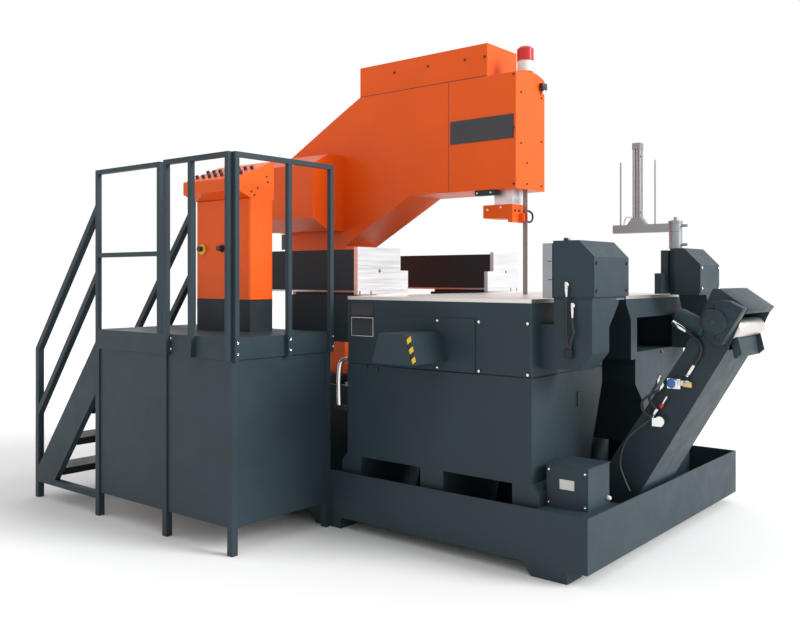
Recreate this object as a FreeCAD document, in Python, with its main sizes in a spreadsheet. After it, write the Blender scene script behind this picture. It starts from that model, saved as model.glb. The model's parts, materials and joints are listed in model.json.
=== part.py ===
import FreeCAD, Part
import Sketcher
import os
import math

doc = FreeCAD.newDocument("PlateSaw")
sheet = doc.addObject("Spreadsheet::Sheet", "Sizes")


class Size:
    """A length that remembers the sheet formula it follows."""

    def __init__(self, value, text):
        self.value = float(value)
        self.text = text

    def __add__(self, other):
        other = size_of(other)
        return Size(self.value + other.value, "(%s + %s)" % (self.text, other.text))

    def __radd__(self, other):
        return size_of(other) + self

    def __sub__(self, other):
        other = size_of(other)
        return Size(self.value - other.value, "(%s - %s)" % (self.text, other.text))

    def __rsub__(self, other):
        return size_of(other) - self

    def __mul__(self, number):
        return Size(self.value * number, "(%s * %s)" % (self.text, plain(number)))

    def __rmul__(self, number):
        return self * number

    def __truediv__(self, number):
        return Size(self.value / number, "(%s / %s)" % (self.text, plain(number)))

    def __neg__(self):
        return Size(-self.value, "(0 - %s)" % self.text)


def plain(number):
    return ("%.6f" % number).rstrip("0").rstrip(".")


def size_of(thing):
    if isinstance(thing, Size):
        return thing
    if thing < 0:
        return Size(thing, "(0 - %s)" % plain(-thing))
    return Size(thing, plain(thing))


rows = [0]


def heading(words):
    rows[0] += 1
    sheet.set("A%d" % rows[0], words)


def size(name, value, words):
    rows[0] += 1
    row = rows[0]
    sheet.set("A%d" % row, words)
    sheet.set("B%d" % row, plain(value))
    sheet.setAlias("B%d" % row, name)
    return Size(value, "Sizes.%s" % name)


# Overall sizes, all in millimetres; the corner of the tray is the datum for the list
heading("Coolant tray")
tray_length = size("tray_length", 3750, "tray, left to right")
tray_depth = size("tray_depth", 2131, "tray, front to back")
tray_rim = size("tray_rim", 340, "height of the tray rim")
tray_lift = size("tray_lift", 66, "height of the tray underside")
tray_wall = size("tray_wall", 8, "tray sheet thickness")
foot_width = size("foot_width", 256, "tray foot, left to right")
foot_depth = size("foot_depth", 150, "tray foot, front to back")
foot_inset = size("foot_inset", 109, "right foot in from the tray corner")
foot_slope = size("foot_slope", 52, "sloped end of a tray foot")
foot_middle = size("foot_middle", 1507, "middle foot from the right foot")

seat = size("seat", 0.3, "running clearance of pieces that slide")

heading("Table and bases")
table_right = size("table_right", 338, "table edge in from the tray edge")
table_width = size("table_width", 1267, "table, left to right")
table_front = size("table_front", 50, "front face behind the tray front")
table_top = size("table_top", 1386, "height of the table surface")
plate_thick = size("plate_thick", 20, "steel table plate")
joint_line = size("joint_line", 985, "height of the joint between base and bed")
front_base_depth = size("front_base_depth", 792, "front base, front to back at the top")
front_slope_top = size("front_slope_top", 894, "height where the rear slope starts")
front_slope = size("front_slope", 300, "run of the rear slope of the front base")
slot_height = size("slot_height", 436, "top of the fork slots")
slot_width = size("slot_width", 441, "fork slot width")
slot_right = size("slot_right", 115, "right fork slot in from the base end")
slot_gap = size("slot_gap", 160, "web between the fork slots")
flare = size("flare", 44, "base foot beyond the base side")
flare_top = size("flare_top", 445, "height where the base foot starts")
blade_line = size("blade_line", 1150, "blade plane behind the tray front")
blade_slot = size("blade_slot", 30, "width of the slot between the tables")
front_bed_depth = size("front_bed_depth", 1010, "front table bed, front to back")
rear_bed_front = size("rear_bed_front", 1235, "front of the rear table bed")
rear_base_front = size("rear_base_front", 1299, "front of the rear base")
rear_in = size("rear_in", 51, "rear table back in from the tray back")
rear_foot_in = size("rear_foot_in", 290, "rear base foot in from the base front")
rear_brow = size("rear_brow", 151, "front face of the rear base under the joint")
rear_slope_in = size("rear_slope_in", 113, "middle of the rear base slope, measured flat")
rear_slope_down = size("rear_slope_down", 271, "middle of the rear base slope under the joint")
seam = size("seam", 5, "chamfer along the joint line")
casting_round = size("casting_round", 8, "round of the casting corners")
window_height = size("window_height", 214, "opening in the rear bed, height")
window_low = size("window_low", 1034, "opening in the rear bed, lower edge")
window_length = size("window_length", 660, "opening in the rear bed, length")
window_deep = size("window_deep", 420, "opening in the rear bed, depth")

heading("Guard box and plates on the front")
guard_reach = size("guard_reach", 310, "guard box out from the front face")
guard_left = size("guard_left", 802, "guard box left edge from the table right edge")
guard_foot = size("guard_foot", 280, "guard box width at the bottom")
guard_head = size("guard_head", 170, "guard box width at the top")
guard_low = size("guard_low", 1040, "guard box lower edge")
guard_tall = size("guard_tall", 160, "guard box height")
service_width = size("service_width", 594, "service plate width")
service_height = size("service_height", 288, "service plate height")
service_right = size("service_right", 343, "service plate in from the table edge")
service_low = size("service_low", 988, "service plate lower edge")
sheet_thick = size("sheet_thick", 6, "plain steel plates")

heading("Vises at the left")
bed_reach = size("bed_reach", 625, "slide bed beyond the table")
bed_drop = size("bed_drop", 290, "slide bed height")
front_vise = size("front_vise", 165, "front jaw behind the tray front")
rear_vise = size("rear_vise", 1679, "rear jaw behind the tray front")
front_jaw_wide = size("front_jaw_wide", 415, "front jaw width")
rear_jaw_wide = size("rear_jaw_wide", 347, "rear jaw width")
jaw_lip = size("jaw_lip", 78, "lower lip of a jaw")
lip_height = size("lip_height", 150, "height of the lower lip")
jaw_height = size("jaw_height", 294, "jaw height")
jaw_thick = size("jaw_thick", 30, "jaw thickness")
jaw_lift = size("jaw_lift", 5, "gap under jaws and clamps")
jaw_left = size("jaw_left", 1290, "jaw face from the table right edge")
jaw_hole = size("jaw_hole", 22, "hole in the jaw")
jaw_notch = size("jaw_notch", 12, "notch at the bottom of the jaw")
slab_thick = size("slab_thick", 96, "arm slab thickness")
slab_length = size("slab_length", 1340, "arm slab length")
slab_height = size("slab_height", 256, "arm slab height")
slab_lift = size("slab_lift", 30, "arm slab above the table")
rail_wide = size("rail_wide", 36, "slide rail width")
rail_high = size("rail_high", 12, "slide rail height")
way_in = size("way_in", 130, "end of the slide way from the table")

heading("Clamp units at the right")
clamp_face = size("clamp_face", 326, "clamp jaw face from the tray edge")
clamp_front = size("clamp_front", 140, "front clamp behind the tray front")
clamp_depth = size("clamp_depth", 396, "front clamp, front to back")
rear_clamp_front = size("rear_clamp_front", 1663, "rear clamp behind the tray front")
rear_clamp_depth = size("rear_clamp_depth", 340, "rear clamp, front to back")
housing_right = size("housing_right", 35, "housing in from the tray edge")
housing_height = size("housing_height", 294, "clamp housing height")
housing_chamfer = size("housing_chamfer", 84, "chamfer of the housing")
front_plate_thick = size("front_plate_thick", 29, "front clamp plate")
front_block_thick = size("front_block_thick", 27, "blocks behind the front clamp plate")
rear_plate_thick = size("rear_plate_thick", 45, "rear clamp plate")
rear_lip = size("rear_lip", 100, "lower lip of the rear clamp plate")
rear_lip_high = size("rear_lip_high", 133, "height of that lip")
rear_housing_right = size("rear_housing_right", 66, "rear housing in from the tray edge")
rear_chamfer = size("rear_chamfer", 107, "chamfer of the rear housing")
rear_recess = size("rear_recess", 42, "recess at the left of the rear housing")
strip_gap = size("strip_gap", 5, "gap between clamp plate and housing")
band_thick = size("band_thick", 14, "band under the clamp housing")
strip_drop = size("strip_drop", 12, "strip below the housing top")
clamp_rod = size("clamp_rod", 36, "clamp rod diameter")
clamp_rod_long = size("clamp_rod_long", 190, "clamp rod length")
knee_bottom = size("knee_bottom", 1030, "knee lower edge")
knee_chamfer = size("knee_chamfer", 87, "knee chamfer at the right")
knee_recess = size("knee_recess", 77, "recess of the knee at the table edge")
knee_recess_high = size("knee_recess_high", 128, "height of that recess")
knee_depth = size("knee_depth", 278, "knee, front to back")
knee_in = size("knee_in", 12, "knee in from the housing end")
knee_foot = size("knee_foot", 69, "width of the knee chamfer")
knee_slope = size("knee_slope", 88, "slope of the knee side, measured flat")
knee_slope_high = size("knee_slope_high", 132, "slope of the knee side, height")
rear_knee_front = size("rear_knee_front", 1880, "rear knee behind the tray front")

heading("Hold-down")
post_round = size("post_round", 84, "hold-down post diameter")
post_across = size("post_across", 262, "post in from the tray edge")
post_back = size("post_back", 1750, "post behind the tray front")
post_rise = size("post_rise", 110, "post shoulder over the rear housing")
press_arm = size("press_arm", 55, "arm height")
press_arm_wide = size("press_arm_wide", 60, "arm width")
press_reach = size("press_reach", 261, "cylinder axis from the post axis")
press_end = size("press_end", 428, "arm end from the post axis")
cylinder_round = size("cylinder_round", 44, "cylinder diameter")
cylinder_tall = size("cylinder_tall", 548, "cylinder height over the arm")
cylinder_foot = size("cylinder_foot", 132, "cylinder foot width")
cylinder_neck = size("cylinder_neck", 60, "cylinder foot width at its top")
cylinder_foot_high = size("cylinder_foot_high", 49, "cylinder foot height")
lever_round = size("lever_round", 18, "clamp lever diameter")
lever_long = size("lever_long", 44, "clamp lever length")
ram_round = size("ram_round", 28, "cylinder ram diameter")
ram_long = size("ram_long", 470, "cylinder ram length")
press_rod_tall = size("press_rod_tall", 427, "guide rods over the arm")
press_rod_round = size("press_rod_round", 10, "guide rod diameter")
press_rod_gap = size("press_rod_gap", 244, "pitch of the guide rods")

heading("Saw frame")
frame_front = size("frame_front", 970, "frame front face behind the tray front")
frame_wide = size("frame_wide", 363, "frame, front to back")
head_right = size("head_right", 997, "head end in from the tray edge")
head_bottom = size("head_bottom", 2070, "underside of the head")
head_height = size("head_height", 748, "head height")
head_length = size("head_length", 528, "head up to the door seam")
head_left = size("head_left", 866, "head to the start of the neck underside")
head_back = size("head_back", 1329, "head length on the top")
crown_round = size("crown_round", 515, "radius of the crowned head end")
crown_rise = size("crown_rise", 27, "crown over the head top")
crown_drop = size("crown_drop", 30, "straight side of the head end under the head top")
cover_right = size("cover_right", 218, "top cover in from the head end")
cover_height = size("cover_height", 212, "top cover height")
column_right = size("column_right", 2480, "column right face")
column_left = size("column_left", 3100, "column left face")
column_top = size("column_top", 2405, "column top height")
column_low = size("column_low", 785, "column underside")
column_step = size("column_step", 65, "lower part of the column in from its left face")
neck_low = size("neck_low", 1731, "height where the neck meets the column")
shoulder_in = size("shoulder_in", 31, "last shoulder point from the column left face")
shoulder_high = size("shoulder_high", 17, "last shoulder point over the column top")
shoulder_mid = size("shoulder_mid", 2682, "height of the middle shoulder point")
shoulder_seam = size("shoulder_seam", 2738, "height where the neck seam meets the top line")
shoulder_out = size("shoulder_out", 107, "middle shoulder point from the column right face")
side_cover_out = size("side_cover_out", 166, "side cover, straight part")
side_cover_tip = size("side_cover_tip", 160, "side cover, tapered part")
side_cover_low = size("side_cover_low", 1840, "side cover lower edge")
side_cover_high = size("side_cover_high", 560, "side cover height")
side_cover_taper = size("side_cover_taper", 85, "taper of the side cover")
wheel_low = size("wheel_low", 340, "underside of the lower wheel box")
wheel_top = size("wheel_top", 955, "top of the lower wheel box")
wheel_wide = size("wheel_wide", 160, "lower wheel box, front to back")
wheel_right = size("wheel_right", 1000, "lower wheel box end in from the tray edge")
wheel_length = size("wheel_length", 680, "lower wheel box length")
blade_wide = size("blade_wide", 34, "blade width")
blade_thick = size("blade_thick", 2, "blade thickness")
blade_in = size("blade_in", 22, "blade edge in from the head end")
beacon_round = size("beacon_round", 110, "beacon diameter")
beacon_tall = size("beacon_tall", 92, "beacon lens height")
beacon_cap = size("beacon_cap", 14, "sloped top of the lens")
beacon_foot = size("beacon_foot", 70, "beacon base height")
beacon_in = size("beacon_in", 38, "beacon in from the head end")

heading("Saw carriage and its beams")
beam_front = size("beam_front", 872, "front beam behind the tray front")
beam_wide = size("beam_wide", 116, "beam width")
beam_pitch = size("beam_pitch", 440, "distance between the beams")
beam_right = size("beam_right", 1720, "beam end in from the tray edge")
beam_length = size("beam_length", 1990, "beam length")
beam_top = size("beam_top", 700, "beam height")
track_wide = size("track_wide", 45, "linear rail width")
track_high = size("track_high", 30, "linear rail height")
carriage_thick = size("carriage_thick", 44, "carriage plate thickness")
runner_length = size("runner_length", 180, "runner block length")
runner_wide = size("runner_wide", 100, "runner block width")

heading("Blade guide")
guide_post = size("guide_post", 140, "guide post, left to right")
guide_post_deep = size("guide_post_deep", 124, "guide post, front to back")
guide_in = size("guide_in", 430, "guide post inside the head")
guide_up = size("guide_up", 80, "free height over the guide post")
guide_left = size("guide_left", 211, "guide post left edge from the head end")
guide_block_low = size("guide_block_low", 1858, "guide block lower face")
guide_block_high = size("guide_block_high", 117, "guide block height")
guide_block_wide = size("guide_block_wide", 227, "guide block, left to right")
guide_block_left = size("guide_block_left", 85, "guide block beyond the post at the left")
guide_block_toe = size("guide_block_toe", 34, "deep part of the guide block at the blade")
guide_block_thin = size("guide_block_thin", 31, "rise of the underside at the left")
guide_front = size("guide_front", 1046, "guide post behind the tray front")
guide_pad = size("guide_pad", 19, "blade guide pad thickness")
guide_pad_gap = size("guide_pad_gap", 6, "gap between blade and pad")
guide_pad_high = size("guide_pad_high", 50, "blade guide pad height")
guide_pad_long = size("guide_pad_long", 48, "blade guide pad length")
guide_block_deep = size("guide_block_deep", 161, "guide block, front to back")

heading("Conveyor")
run_front = size("run_front", 681, "conveyor front side behind the tray front")
run_wide = size("run_wide", 446, "conveyor width")
run_low_x = size("run_low_x", 22, "lower line meets the tray rim, in from the edge")
run_lift = size("run_lift", 14, "lower line over the tray rim")
run_rise = size("run_rise", 772, "height of the inclined part")
run_run = size("run_run", 453, "length of the inclined part, flat")
run_deep = size("run_deep", 262, "conveyor depth, measured flat")
run_left = size("run_left", 1500, "level part, left end in from the edge")
run_level = size("run_level", 300, "top of the level part")
run_bend = size("run_bend", 190, "foot of the slope, measured flat")
run_knee = size("run_knee", 70, "bend over the level part")
run_wall = size("run_wall", 12, "conveyor side wall")
belt_drop = size("belt_drop", 60, "depth of the open level part")
belt_gap = size("belt_gap", 1, "belt clearance")
belt_thick = size("belt_thick", 10, "belt thickness")
cleat_count = size("cleat_count", 9, "number of cleats")
cleat_pitch = size("cleat_pitch", 125, "pitch of the cleats")
cleat_thick = size("cleat_thick", 8, "cleat thickness")
cleat_high = size("cleat_high", 28, "cleat height")
mouth_run = size("mouth_run", 86, "upper mouth, measured flat")
mouth_rise = size("mouth_rise", 130, "upper mouth, height")
back_run = size("back_run", 240, "upper back line, measured flat")
back_fall = size("back_fall", 40, "upper back line, drop")
hood_right = size("hood_right", 535, "hood out from the tray edge")
hood_top = size("hood_top", 1440, "hood top height")
hood_step = size("hood_step", 15, "hood past the slope")
hood_fall = size("hood_fall", 100, "drop of the hood top")
hood_flat = size("hood_flat", 41, "start of the hood top")
hood_cap = size("hood_cap", 34, "flat part of the hood top")
chute_wide = size("chute_wide", 60, "chute opening")
chute_drop = size("chute_drop", 128, "chute height")
chute_inset = size("chute_inset", 40, "chute in from the conveyor side")
valve_x = size("valve_x", 175, "valve block out from the tray edge")
valve_z = size("valve_z", 946, "valve block height")
valve_deep = size("valve_deep", 46, "valve block depth")
gear_long = size("gear_long", 112, "gearbox reach from its middle")
gear_boss = size("gear_boss", 130, "round boss on the gearbox")
gear_x = size("gear_x", 391, "gearbox out from the tray edge")
gear_z = size("gear_z", 1273, "gearbox height")
gear_deep = size("gear_deep", 81, "gearbox depth")
motor_round = size("motor_round", 80, "motor diameter")
motor_long = size("motor_long", 250, "motor length")
motor_out = size("motor_out", 136, "motor past its flange")
motor_rim = size("motor_rim", 9, "motor flange past the motor")
motor_lean = size("motor_lean", 77, "lean of the motor, degrees")

heading("Junction box")
junction_wide = size("junction_wide", 232, "junction box, left to right")
junction_deep = size("junction_deep", 234, "junction box, front to back")
junction_high = size("junction_high", 204, "junction box height")
junction_in = size("junction_in", 55, "junction box in from the tray edge")
junction_back = size("junction_back", 114, "junction box behind the tray front")

heading("Platform")
deck_right = size("deck_right", 1700, "platform right side in from the tray edge")
deck_left = size("deck_left", 3020, "platform left side in from the tray edge")
deck_deep = size("deck_deep", 758, "platform, front to back")
deck_top = size("deck_top", 1171, "deck height")
deck_band = size("deck_band", 119, "edge band height")
tube = size("tube", 40, "square tube")
panel_low = size("panel_low", 146, "lower edge of the panels")
panel_thick = size("panel_thick", 4, "panel thickness")
rail_top = size("rail_top", 2172, "handrail height")
bay_left = size("bay_left", 700, "left bay of the guard rail")
mid_rail = size("mid_rail", 1650, "height of the middle rail")
rail_tube = size("rail_tube", 28, "guard rail tube")
rail_bay = size("rail_bay", 674, "width of the first guard rail")
bay_two = size("bay_two", 748, "second guard rail from the left side")
bay_post = size("bay_post", 974, "its middle post from the left side")
side_post = size("side_post", 387, "middle post of the side rail from its front")
stair_run = size("stair_run", 739, "stair, flat length")
stair_foot = size("stair_foot", 1014, "top of the lower stair post")
stair_edge = size("stair_edge", 214, "upper edge of the stair side at its foot")
stair_edge_top = size("stair_edge_top", 79, "upper edge of the stair side under the deck")
stair_low_run = size("stair_low_run", 248, "start of its lower edge from the foot")
stair_low_end = size("stair_low_end", 408, "lower edge of the stair side under the deck")
rail_end = size("rail_end", 219, "end of the stair handrail under the guard rail")
rail_two_end = size("rail_two_end", 641, "end of the lower handrail under the guard rail")
rail_two_foot = size("rail_two_foot", 388, "lower handrail under the upper one at the foot")
tread_start = size("tread_start", 60, "first tread from the stair foot")
tread_pitch = size("tread_pitch", 179, "flat distance between the treads")
tread_rise = size("tread_rise", 222.6, "height between the treads")
tread_count = size("tread_count", 4, "number of treads")
tread_deep = size("tread_deep", 225, "tread, flat length")
tread_thick = size("tread_thick", 45, "tread thickness")

heading("Console")
console_left = size("console_left", 2540, "console left side in from the tray edge")
console_wide = size("console_wide", 515, "console width")
console_front = size("console_front", 350, "console front before the tray front")
console_deep = size("console_deep", 190, "console depth")
plinth_high = size("plinth_high", 194, "console plinth height")
plinth_in = size("plinth_in", 6, "plinth in from the cabinet")
cabinet_high = size("cabinet_high", 605, "console cabinet height")
desk_lip = size("desk_lip", 95, "desk out from the cabinet")
desk_front_high = size("desk_front_high", 75, "desk front edge height")
desk_under = size("desk_under", 41, "desk lip over the cabinet")
corner_round = size("corner_round", 22, "round of the cabinet corners")
button_round = size("button_round", 22, "button diameter")
button_high = size("button_high", 20, "button height")
button_edge = size("button_edge", 50, "first button in from the side")
switch_left = size("switch_left", 70, "stop switch in from the left side")
switch_pitch = size("switch_pitch", 190, "distance between the switches")
switch_up = size("switch_up", 310, "switch height over the plinth")
switch_round = size("switch_round", 34, "switch diameter")
desk_rise = size("desk_rise", 237, "desk back edge over the cabinet")

doc.recompute()

# The part stands centred over the origin, on the floor
left_end = -(deck_left + stair_run)
right_end = hood_right
front_end = -deck_deep - rail_tube
back_end = tray_depth
middle_x = (left_end + right_end) / 2
middle_y = (front_end + back_end) / 2


def bind(thing, prop, value):
    value = size_of(value)
    thing.setExpression(prop, value.text)


def place(thing, x, y, z):
    spot = (size_of(x) - middle_x, size_of(y) - middle_y, size_of(z))
    base = FreeCAD.Vector(spot[0].value, spot[1].value, spot[2].value)
    thing.Placement = FreeCAD.Placement(base, thing.Placement.Rotation)
    bind(thing, ".Placement.Base.x", spot[0])
    bind(thing, ".Placement.Base.y", spot[1])
    bind(thing, ".Placement.Base.z", spot[2])


def box(label, x0, x1, y0, y1, z0, z1):
    thing = doc.addObject("Part::Box", "Box")
    thing.Label = label
    bind(thing, "Length", size_of(x1) - x0)
    bind(thing, "Width", size_of(y1) - y0)
    bind(thing, "Height", size_of(z1) - z0)
    place(thing, x0, y0, z0)
    return thing


TURNS = {
    "x": FreeCAD.Rotation(FreeCAD.Vector(0, 1, 0), 90),
    "y": FreeCAD.Rotation(FreeCAD.Vector(1, 0, 0), -90),
    "z": FreeCAD.Rotation(),
}


def rod(label, axis, x, y, z, diameter, length):
    """A round bar that starts at the point and runs along the axis."""
    thing = doc.addObject("Part::Cylinder", "Rod")
    thing.Label = label
    bind(thing, "Radius", size_of(diameter) / 2)
    bind(thing, "Height", length)
    thing.Placement = FreeCAD.Placement(FreeCAD.Vector(), TURNS[axis])
    place(thing, x, y, z)
    return thing


def taper(label, axis, x, y, z, first, last, length):
    thing = doc.addObject("Part::Cone", "Taper")
    thing.Label = label
    bind(thing, "Radius1", size_of(first) / 2)
    bind(thing, "Radius2", size_of(last) / 2)
    bind(thing, "Height", length)
    thing.Placement = FreeCAD.Placement(FreeCAD.Vector(), TURNS[axis])
    place(thing, x, y, z)
    return thing


def outline(body, plane, points, offset=None):
    sketch = body.newObject("Sketcher::SketchObject", "Outline")
    role = {"xz": "XZ_Plane", "yz": "YZ_Plane", "xy": "XY_Plane"}[plane]
    base = [f for f in body.Origin.OriginFeatures if f.Role == role][0]
    sketch.AttachmentSupport = [(base, "")]
    sketch.MapMode = "FlatFace"
    if offset is not None:
        bind(sketch, ".AttachmentOffset.Base.z", offset)
    points = [(size_of(a), size_of(b)) for a, b in points]
    count = len(points)
    for i in range(count):
        a = points[i]
        b = points[(i + 1) % count]
        start = FreeCAD.Vector(a[0].value, a[1].value, 0)
        end = FreeCAD.Vector(b[0].value, b[1].value, 0)
        sketch.addGeometry(Part.LineSegment(start, end), False)
    for i in range(count):
        sketch.addConstraint(Sketcher.Constraint("Coincident", i, 2, (i + 1) % count, 1))
    for i in range(count):
        for kind, value in (("DistanceX", points[i][0]), ("DistanceY", points[i][1])):
            index = sketch.addConstraint(Sketcher.Constraint(kind, -1, 1, i, 1, value.value))
            sketch.setExpression("Constraints[%d]" % index, value.text)
    return sketch


def prism(label, plane, points, start, length):
    """A padded outline; xz pads run to the back, yz pads to the right, xy pads upward."""
    body = doc.addObject("PartDesign::Body", "Body")
    body.Label = label
    sketch = outline(body, plane, points)
    pad = body.newObject("PartDesign::Pad", "Pad")
    pad.Profile = sketch
    bind(pad, "Length", length)
    pad.Reversed = plane == "xz"
    body.Tip = pad
    if plane == "xz":
        place(body, 0, start, 0)
    if plane == "yz":
        place(body, start, 0, 0)
    if plane == "xy":
        place(body, 0, 0, start)
    return body


def bored(body, plane, points, depth, offset=None, toward=False):
    """A pocket from an outline; toward=True cuts along the plane normal."""
    sketch = outline(body, plane, points, offset)
    pocket = body.newObject("PartDesign::Pocket", "Pocket")
    pocket.Profile = sketch
    bind(pocket, "Length", depth)
    pocket.Reversed = toward
    body.Tip = pocket
    return body


def rounded(body, keep, radius, kind="Fillet"):
    """Round or chamfer the edges of the last feature that the test keeps."""
    doc.recompute()
    tip = body.Tip
    names = []
    whole = tip.Shape.BoundBox
    for index, edge in enumerate(tip.Shape.Edges):
        if keep(edge, whole):
            names.append("Edge%d" % (index + 1))
    if not names:
        raise ValueError("no edge to round on %s" % body.Label)
    feature = body.newObject("PartDesign::%s" % kind, kind)
    feature.Base = (tip, names)
    if kind == "Fillet":
        bind(feature, "Radius", radius)
    else:
        bind(feature, "Size", radius)
    body.Tip = feature
    return body


def cut(label, base, tool):
    thing = doc.addObject("Part::Cut", "Cut")
    thing.Label = label
    thing.Base = base
    thing.Tool = tool
    return thing


def join(label, things):
    thing = doc.addObject("Part::MultiFuse", "Join")
    thing.Label = label
    thing.Shapes = things
    thing.Refine = True
    return thing


def group(label, things):
    thing = doc.addObject("Part::Compound", "Group")
    thing.Label = label
    thing.Links = things
    return thing


def rect(x0, x1, z0, z1):
    return [(x0, z0), (x1, z0), (x1, z1), (x0, z1)]


nodes = []


def node(thing):
    nodes.append(thing)
    return thing


# Coolant tray and its feet
tray_floor = tray_lift + tray_wall
outer = box("tray shell", -tray_length, 0, 0, tray_depth, tray_lift, tray_rim)
inner = box("tray inside", tray_wall - tray_length, -tray_wall, tray_wall, tray_depth - tray_wall,
            tray_floor, tray_rim + 50)
node(cut("coolant_tray", outer, inner))

feet = []
for right in (-foot_inset, -foot_inset - foot_middle, foot_inset + foot_width - tray_length):
    left = right - foot_width
    shape = [(left, tray_lift), (left + foot_slope, 0), (right, 0), (right, tray_lift)]
    for y in (0, tray_depth - foot_depth):
        feet.append(prism("tray foot", "xz", shape, y, foot_depth))
node(group("tray_feet", feet))

# Bases
rear_back = tray_depth - rear_in
base_right = -table_right
base_left = base_right - table_width
front_rear = table_front + front_base_depth
slot_a = base_right - slot_right - slot_width
slot_b = slot_a - slot_gap - slot_width


def foot_block(y0, deep):
    shape = [(base_left - flare, tray_floor), (base_right + flare, tray_floor),
             (base_right + flare, flare_top - flare), (base_right, flare_top),
             (base_left, flare_top), (base_left - flare, flare_top - flare)]
    return prism("base foot", "xz", shape, y0, deep)


front_low = front_rear - front_slope
front_shape = [(table_front, tray_floor), (front_low, tray_floor), (front_rear, front_slope_top),
               (front_rear, joint_line), (table_front, joint_line)]
front_core = prism("front base core", "yz", front_shape, base_left, table_width)


def at_top(edge, whole):
    return edge.CenterOfMass.z > whole.ZMax - 1


def at_bottom(edge, whole):
    return edge.CenterOfMass.z < whole.ZMin + 1


def front_corner(edge, whole):
    middle = edge.CenterOfMass
    return edge.BoundBox.ZLength > 100 and middle.y < whole.YMin + 1


rounded(front_core, at_top, seam, "Chamfer")
front_foot = foot_block(table_front, front_low - table_front)
front_whole = join("front base whole", [front_core, front_foot])
slots = [box("slot", x, x + slot_width, table_front - 20, front_rear + 20, tray_floor - 20, slot_height)
         for x in (slot_a, slot_b)]
node(cut("front_base", front_whole, group("front slots", slots)))

rear_foot_front = rear_base_front + rear_foot_in
rear_shape = [(rear_foot_front, tray_floor), (rear_back, tray_floor), (rear_back, joint_line),
              (rear_base_front, joint_line), (rear_base_front, joint_line - rear_brow),
              (rear_base_front + rear_slope_in, joint_line - rear_slope_down)]
rear_core = prism("rear base core", "yz", rear_shape, base_left, table_width)
rear_foot = foot_block(rear_foot_front, rear_back - rear_foot_front)
rear_whole = join("rear base whole", [rear_core, rear_foot])
slots = [box("slot", x, x + slot_width, rear_base_front - 20, rear_back + 20, tray_floor - 20, slot_height)
         for x in (slot_a, slot_b)]
node(cut("rear_base", rear_whole, group("rear slots", slots)))

# Table beds and plates
plate_low = table_top - plate_thick
front_bed_back = table_front + front_bed_depth
bed_shape = [(table_front, joint_line), (front_rear, joint_line), (front_rear, joint_line + 125),
             (front_bed_back, plate_low - 26), (front_bed_back, plate_low), (table_front, plate_low)]
front_bed = prism("front_table_bed", "yz", bed_shape, base_left, table_width)
rounded(front_bed, front_corner, casting_round)
node(rounded(front_bed, at_bottom, seam, "Chamfer"))
slot_front = blade_line - blade_slot / 2
slot_back = blade_line + blade_slot / 2
front_plate = box("front plate", base_left, base_right, table_front, slot_front, plate_low, table_top)
bed_shape = [(rear_base_front, joint_line), (rear_back, joint_line), (rear_back, plate_low),
             (slot_back, plate_low), (slot_back, plate_low - 26), (rear_bed_front, plate_low - 130),
             (rear_bed_front, joint_line + 6), (rear_base_front, joint_line + 6)]
rear_bed = prism("rear_table_bed", "yz", bed_shape, base_left, table_width)
window_front = rear_bed_front + 87
window = rect(window_front, window_front + window_length, window_low, window_low + window_height)
bored(rear_bed, "yz", window, window_deep, offset=table_width)
node(rear_bed)
rear_plate = box("rear plate", base_left, base_right, slot_back, rear_back, plate_low, table_top)
node(group("table_plates", [front_plate, rear_plate]))

# Guard box, service plate
guard_x = base_right - guard_left
guard_side = (guard_foot - guard_head) / 2
guard_top = guard_low + guard_tall
guard_shape = [(guard_x, guard_low), (guard_x + guard_foot, guard_low),
               (guard_x + guard_foot - guard_side, guard_top), (guard_x + guard_side, guard_top)]
guard_reach_y = table_front - sheet_thick - guard_reach
node(prism("guard_box", "xz", guard_shape, guard_reach_y, guard_reach))
service_x = base_right - service_right
node(box("service_plate", service_x - service_width, service_x, table_front - sheet_thick, table_front,
         service_low, service_low + service_height))

# Slide beds for the vises
front_slab = front_vise + 40
rear_slab = rear_vise + 50
slide_beds = []
for y in (front_slab, rear_slab):
    slide_beds.append(box("slide bed", base_left - bed_reach, base_left, y - 30, y + slab_thick + 80,
                          table_top - bed_drop, table_top))
    guide_top = table_top + slab_lift - rail_high - seat
    slide_beds.append(box("slide way", base_left - bed_reach, base_left - way_in, y + 20, y + 50 + rail_wide,
                          table_top, guide_top))
node(group("slide_beds", slide_beds))

# Vise arms and jaws
jaw_face = base_right - jaw_left
jaw_low = table_top + jaw_lift
slab_low = table_top + slab_lift


def vise(name, jaw_y, jaw_wide, slab_y, lip_front, lip_back, notches):
    slab_x = jaw_face - jaw_thick - slab_length
    slab = box("slab", slab_x, jaw_face - jaw_thick, slab_y, slab_y + slab_thick,
               slab_low, slab_low + slab_height)
    rail = box("slide rail", slab_x, jaw_face - jaw_thick - 60, slab_y + 30, slab_y + 30 + rail_wide,
               slab_low - rail_high, slab_low)
    node(slab)
    slab.Label = name + "_vise_arm"
    rail.Label = name + "_vise_rail"
    node(rail)
    jaw = box("jaw", jaw_face - jaw_thick, jaw_face, jaw_y, jaw_y + jaw_wide, jaw_low, jaw_low + jaw_height)
    lip = box("lip", jaw_face - jaw_thick, jaw_face, jaw_y - lip_front, jaw_y + jaw_wide + lip_back,
              jaw_low, jaw_low + lip_height)
    middle = jaw_y + jaw_wide / 2
    cuts = [rod("jaw hole", "x", jaw_face - jaw_thick - 5, middle, jaw_low + jaw_height / 2, jaw_hole, jaw_thick + 10)]
    for share in notches:
        notch_y = jaw_y + jaw_wide * share
        cuts.append(box("jaw notch", jaw_face - jaw_thick - 5, jaw_face + 5, notch_y - jaw_notch / 2,
                        notch_y + jaw_notch / 2, jaw_low - 5, jaw_low + jaw_notch * 2))
    node(cut(name + "_vise_jaw", join("jaw whole", [jaw, lip]), group("jaw cuts", cuts)))


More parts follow.
